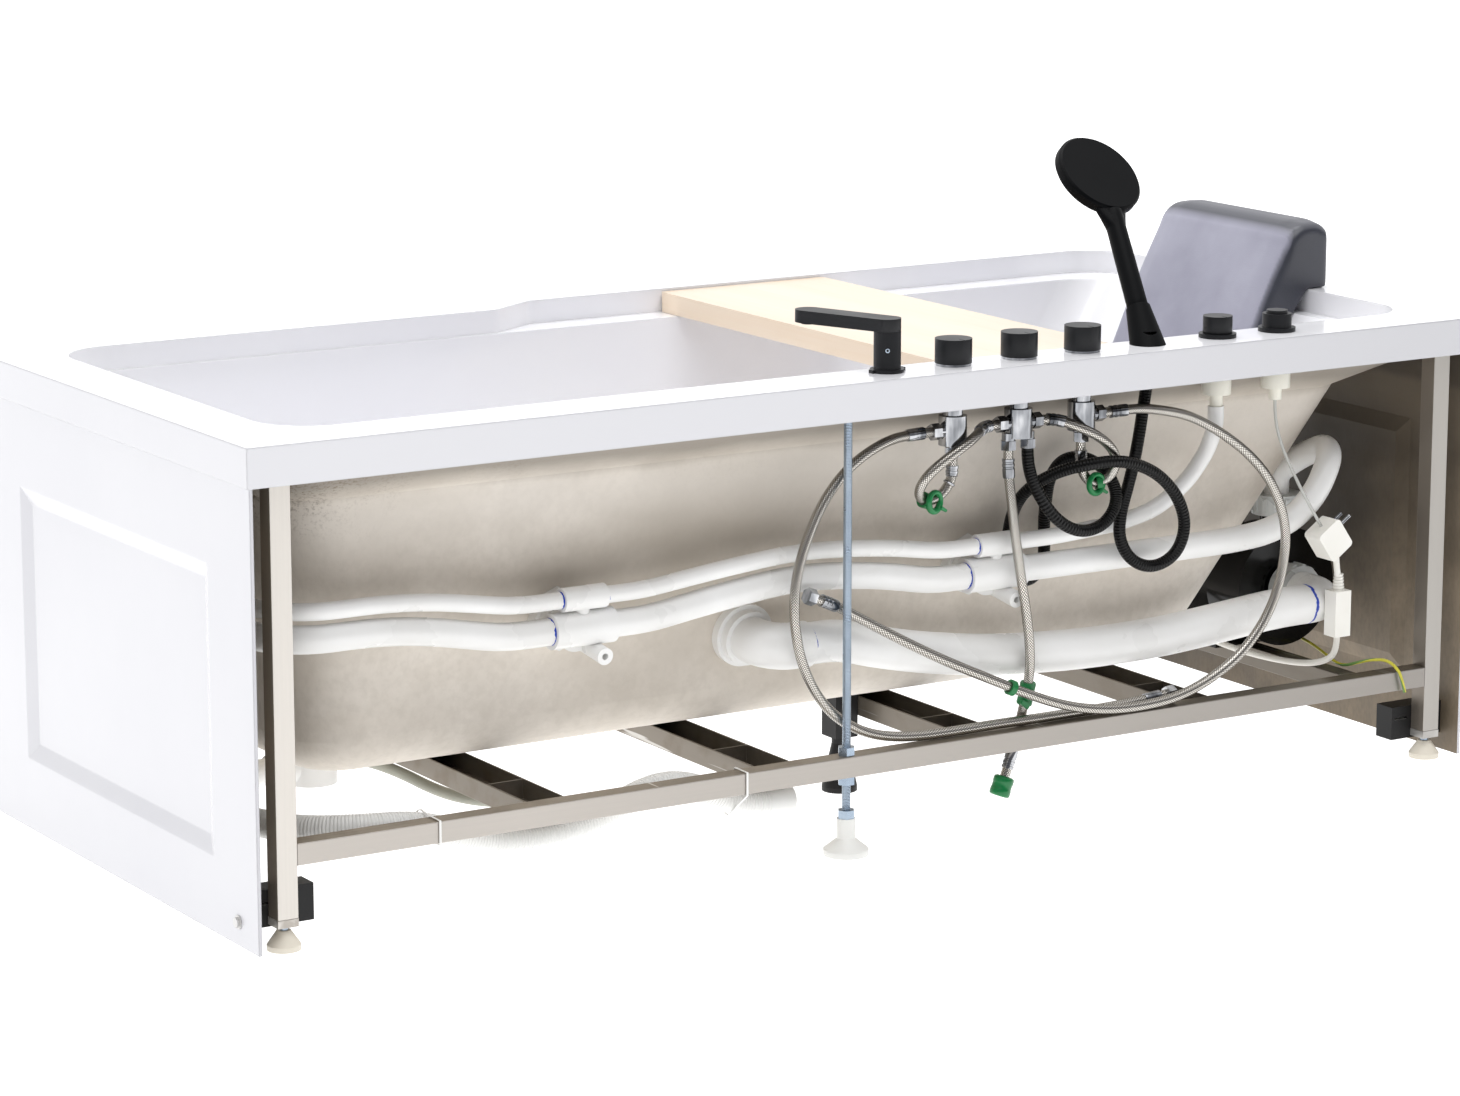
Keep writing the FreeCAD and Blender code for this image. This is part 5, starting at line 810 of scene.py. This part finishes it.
def add_headrest():
    source = NODES["headrest"]
    piece = source.copy()
    piece.data = source.data.copy()
    for prop in [key for key in piece.keys() if key.startswith("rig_")]:
        del piece[prop]
    piece.parent = None
    piece.name = "headrest_pad"
    SCENE.collection.objects.link(piece)
    piece.data.materials.clear()
    remesh = piece.modifiers.new("remesh", "REMESH")
    remesh.mode = "VOXEL"
    remesh.voxel_size = 0.0035
    smooth = piece.modifiers.new("smooth", "SMOOTH")
    smooth.factor = 0.5
    smooth.iterations = 7
    bpy.context.view_layer.update()
    shaped = bpy.data.meshes.new_from_object(piece.evaluated_get(bpy.context.evaluated_depsgraph_get()))
    piece.modifiers.clear()
    piece.data = shaped
    shaped.materials.clear()
    shaped.materials.append(pillow_skin())
    shaped.polygons.foreach_set("use_smooth", [True] * len(shaped.polygons))
    for face in shaped.polygons:
        face.material_index = 0
    fine = piece.modifiers.new("fine", "SUBSURF")
    fine.levels = 1
    fine.render_levels = 1
    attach(piece, "headrest")
    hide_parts("headrest")


# Finishes of the solids

TAP_PIECES = ("spout_base", "spout_arm", "hot_knob", "diverter_knob", "cold_knob", "air_knob", "jet_button")
FEET = ("left_front_foot", "right_front_foot", "left_rear_foot", "right_rear_foot")
NOZZLES = ("front_foot_nozzle", "front_head_nozzle", "back_foot_nozzle", "back_head_nozzle")

# How squarely a face looks along an axis: the least share of its normal
SQUARE, FACING, LEANING = 0.9, 0.85, 0.7

# Places on the solids that part one finish from another, in metres
LIP_INSIDE_X, LIP_INSIDE_Y = 0.846, 0.396
BELOW_DECK, IN_DECK = 0.56, 0.5612
SLOT_BOTTOM, SLOT_TOP, SLOT_DEPTH = 0.0489, 0.0525, 0.015
FOOT_TOP = 0.0221
BODY_TOP = 0.556
FOOT_JET, HEAD_JET = -0.403, 0.165
WATER_SOCKET, AIR_SOCKET = 0.040, 0.028
SUCTION_JOINTS = [-0.099, 0.645]
CLIPS = [(0.047, 0.408), (0.2975, 0.404), (0.1975, 0.1575), (0.16, 0.172), (0.166, 0.045)]
CLIP_REACH = 0.02
BRICK_CENTRE = Vector((0.648, -0.363, 0.298))
PIN_HEADING = Vector((0.819, 0, 0.574))
PIN_START = 0.0192
TOLERANCE = 0.0006

# Widths of rounded edges, in metres
SMALL_EDGE, PLUG_EDGE = 0.0012, 0.003


def on_plane(value, plane):
    """Whether a place lies on a plane of either side."""
    return abs(abs(value) - plane) < TOLERANCE


def behind_lip(centre, normal):
    """The underside of the rim's deck and the inside of its lip."""
    under_deck = normal.z < -SQUARE and centre.z > BELOW_DECK
    inside_lip = on_plane(centre.x, LIP_INSIDE_X) or on_plane(centre.y, LIP_INSIDE_Y)
    return centre.z < IN_DECK and (under_deck or inside_lip)


def front_lip(centre, normal):
    return normal.y < -FACING and centre.y < -LIP_INSIDE_Y - MM


def other_lips(centre, normal):
    """The lip at both ends and at the back."""
    ends = abs(normal.x) > FACING and abs(centre.x) > LIP_INSIDE_X + MM
    return ends or (normal.y > FACING and centre.y > LIP_INSIDE_Y + MM)


def dress_shell():
    white = acrylic("acrylic_white", tone(239, 239, 243), tone(243, 243, 245))
    # A darker copy of the white acrylic, as painted shade, for the outsides of the end aprons and the lips at
    # the ends and back.
    apron_white_painted_shade = acrylic("apron_white_painted_shade", tone(205, 205, 210), tone(210, 210, 214))
    # The fourth colour of each laminate is its painted shade under the rim.
    grey_laminate = laminate("laminate_grey", tone(188, 179, 166), tone(225, 217, 206), tone(239, 233, 225),
                             tone(142, 135, 126), speckle=1.0, painted_front_light=0.0)
    brown_laminate = laminate("laminate_brown", tone(52, 45, 35), tone(72, 63, 51), tone(140, 126, 107),
                              tone(56, 48, 38), speckle=0.2, painted_front_light=0.25)
    dress("tub_shell", white, grey_laminate, acrylic_lip_painted_shade(), apron_white_painted_shade)
    paint("tub_shell", 1, behind_lip)
    paint("tub_shell", 2, front_lip)
    paint("tub_shell", 3, other_lips)
    dress("tub_backing", grey_laminate)
    dress("end_aprons", apron_white_painted_shade, brown_laminate)
    paint("end_aprons", 1, lambda centre, normal: normal.x * centre.x < 0 and abs(normal.x) > 0.2)
    # The top faces take a darker copy of the wood: painted shade.
    dress("bath_board", board_wood("board_pale", 1.0), board_wood("board_top_painted_shade", 0.66))
    paint("bath_board", 1, lambda centre, normal: normal.z > SQUARE)


def dress_frame():
    along_x, along_y, along_z = (0.02, 1, 1), (1, 0.02, 1), (1, 1, 0.02)
    rail_top = stainless("steel_rail_top", along_x, tone(150, 139, 124), worn=True)
    dress("long_rails", stainless("steel_rail", along_x, tone(188, 182, 175), worn=False), rail_top)
    paint("long_rails", 1, lambda centre, normal: normal.z > LEANING)
    dress("cross_bars", stainless("steel_bar", along_y, tone(142, 134, 123), worn=True))
    # A darker copy of the post steel for the faces that look towards the foot end: painted shade.
    post_side_painted_shade = stainless("steel_post_side", along_z, tone(168, 158, 146), worn=False)
    dress("corner_posts", stainless("steel_post", along_z, tone(213, 208, 201), worn=False), post_side_painted_shade)
    paint("corner_posts", 1, lambda centre, normal: normal.x < -LEANING)
    dress("post_plugs", stainless("steel_plug", along_x, tone(232, 229, 224), worn=True))
    dress("apron_screws", stainless("steel_screw", (1, 1, 1), tone(206, 205, 203), worn=False))
    plain_zinc = zinc("zinc", thread=False)
    dress("support_rod", zinc("zinc_thread", thread=True))
    dress("lock_nuts", plain_zinc)
    black = plastic("plastic_black", tone(24, 24, 25), tone(17, 17, 18), 0.5, Specular_IOR_Level=0.35)
    for node in ("basin_pads", "centre_leg"):
        dress(node, black)
    dress("panel_catches", black, plastic("catch_light", tone(168, 168, 164), tone(150, 150, 146), 0.4))
    slot_back = abs(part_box("panel_catches")[0][1]) - SLOT_DEPTH
    paint("panel_catches", 1, lambda centre, normal: SLOT_BOTTOM < centre.z < SLOT_TOP and (
        abs(normal.z) > SQUARE or on_plane(centre.y, slot_back)))
    cream = plastic("foot_cream", tone(236, 230, 216), tone(222, 214, 198), 0.45)
    for node in FEET:
        dress(node, cream, plain_zinc)
        paint(node, 1, lambda centre, normal: centre.z > FOOT_TOP)
    dress("rod_foot", plastic("foot_white", tone(240, 240, 236), tone(228, 228, 224), 0.4))


def dress_taps():
    tap_black = plastic("tap_black", tone(26, 27, 30), tone(20, 21, 23), 0.4, grain=140.0, depth=0.08,
                        Specular_IOR_Level=0.3)
    shower_black = plastic("shower_black", tone(8, 9, 11), tone(6, 7, 9), 0.45, grain=140.0, depth=0.05,
                           Specular_IOR_Level=0.07)
    spray_black = plastic("spray_black", tone(11, 12, 14), tone(8, 9, 11), 0.5, Specular_IOR_Level=0.08)
    for node in TAP_PIECES:
        dress(node, tap_black)
    dress("hand_shower", shower_black)
    dress("shower_holder", shower_black)
    dress("control_bases", tap_black, plastic("body_white", tone(238, 236, 226), tone(228, 225, 212), 0.35))
    paint("control_bases", 1, lambda centre, normal: centre.z < BODY_TOP)
    dress("spray_plate", spray_black)


def dress_pipes():
    water_joints = [x + half for x in (FOOT_JET, HEAD_JET) for half in (-WATER_SOCKET, WATER_SOCKET)]
    air_joints = [x + half for x in (FOOT_JET, HEAD_JET) for half in (-AIR_SOCKET, AIR_SOCKET)]
    dress("water_line", pipe_plastic("pipe_water", water_joints))
    dress("air_line", pipe_plastic("pipe_air", air_joints))
    dress("suction_pipe", pipe_plastic("pipe_suction", SUCTION_JOINTS))
    moulded = pipe_plastic("pipe_fitting", [])
    for node in ("jet_bodies", "suction_fitting", "drain_fitting"):
        dress(node, moulded)
    gloss_black = plastic("pump_black", tone(6, 6, 6), tone(4, 4, 4), 0.16, depth=0.02,
                          Specular_IOR_Level=0.25)
    dress("pump_volute", gloss_black)
    dress("pump_motor", gloss_black)
    dress("impeller", plastic("impeller_grey", tone(120, 120, 120), tone(105, 105, 105), 0.5))
    dress("pump_unions", plastic("union_milky", tone(226, 228, 226), tone(214, 217, 214), 0.25,
                                 Transmission_Weight=0.25))


def dress_bright_pieces():
    """The chrome pieces, the hose fittings with their green clips, and the plug with its pins."""
    bright = chrome("chrome")
    for node in ("tap_valves", "drain_plug", *NOZZLES):
        dress(node, bright)
    dress("hose_fittings", bright, plastic("clip_green", tone(8, 122, 62), tone(6, 104, 52), 0.35))
    paint("hose_fittings", 1, lambda centre, normal: any(
        math.hypot(centre.x - x, centre.z - z) < CLIP_REACH for x, z in CLIPS))
    dress("mains_plug", plastic("plug_ivory", tone(240, 238, 232), tone(230, 228, 220), 0.4), bright)
    paint("mains_plug", 1, lambda centre, normal: (centre - BRICK_CENTRE).dot(PIN_HEADING) > PIN_START)


def soften_edges():
    for node in (*TAP_PIECES, "control_bases", "shower_holder", "hand_shower", "rod_foot", "panel_catches",
                 "corner_posts", "long_rails", "cross_bars", "bath_board"):
        soften(node, SMALL_EDGE)
    soften("mains_plug", PLUG_EDGE)


add_camera()
add_studio()
dress_shell()
dress_frame()
dress_taps()
dress_pipes()
dress_bright_pieces()
soften_edges()
add_cords()
add_headrest()
add_details()

bpy.context.view_layer.update()
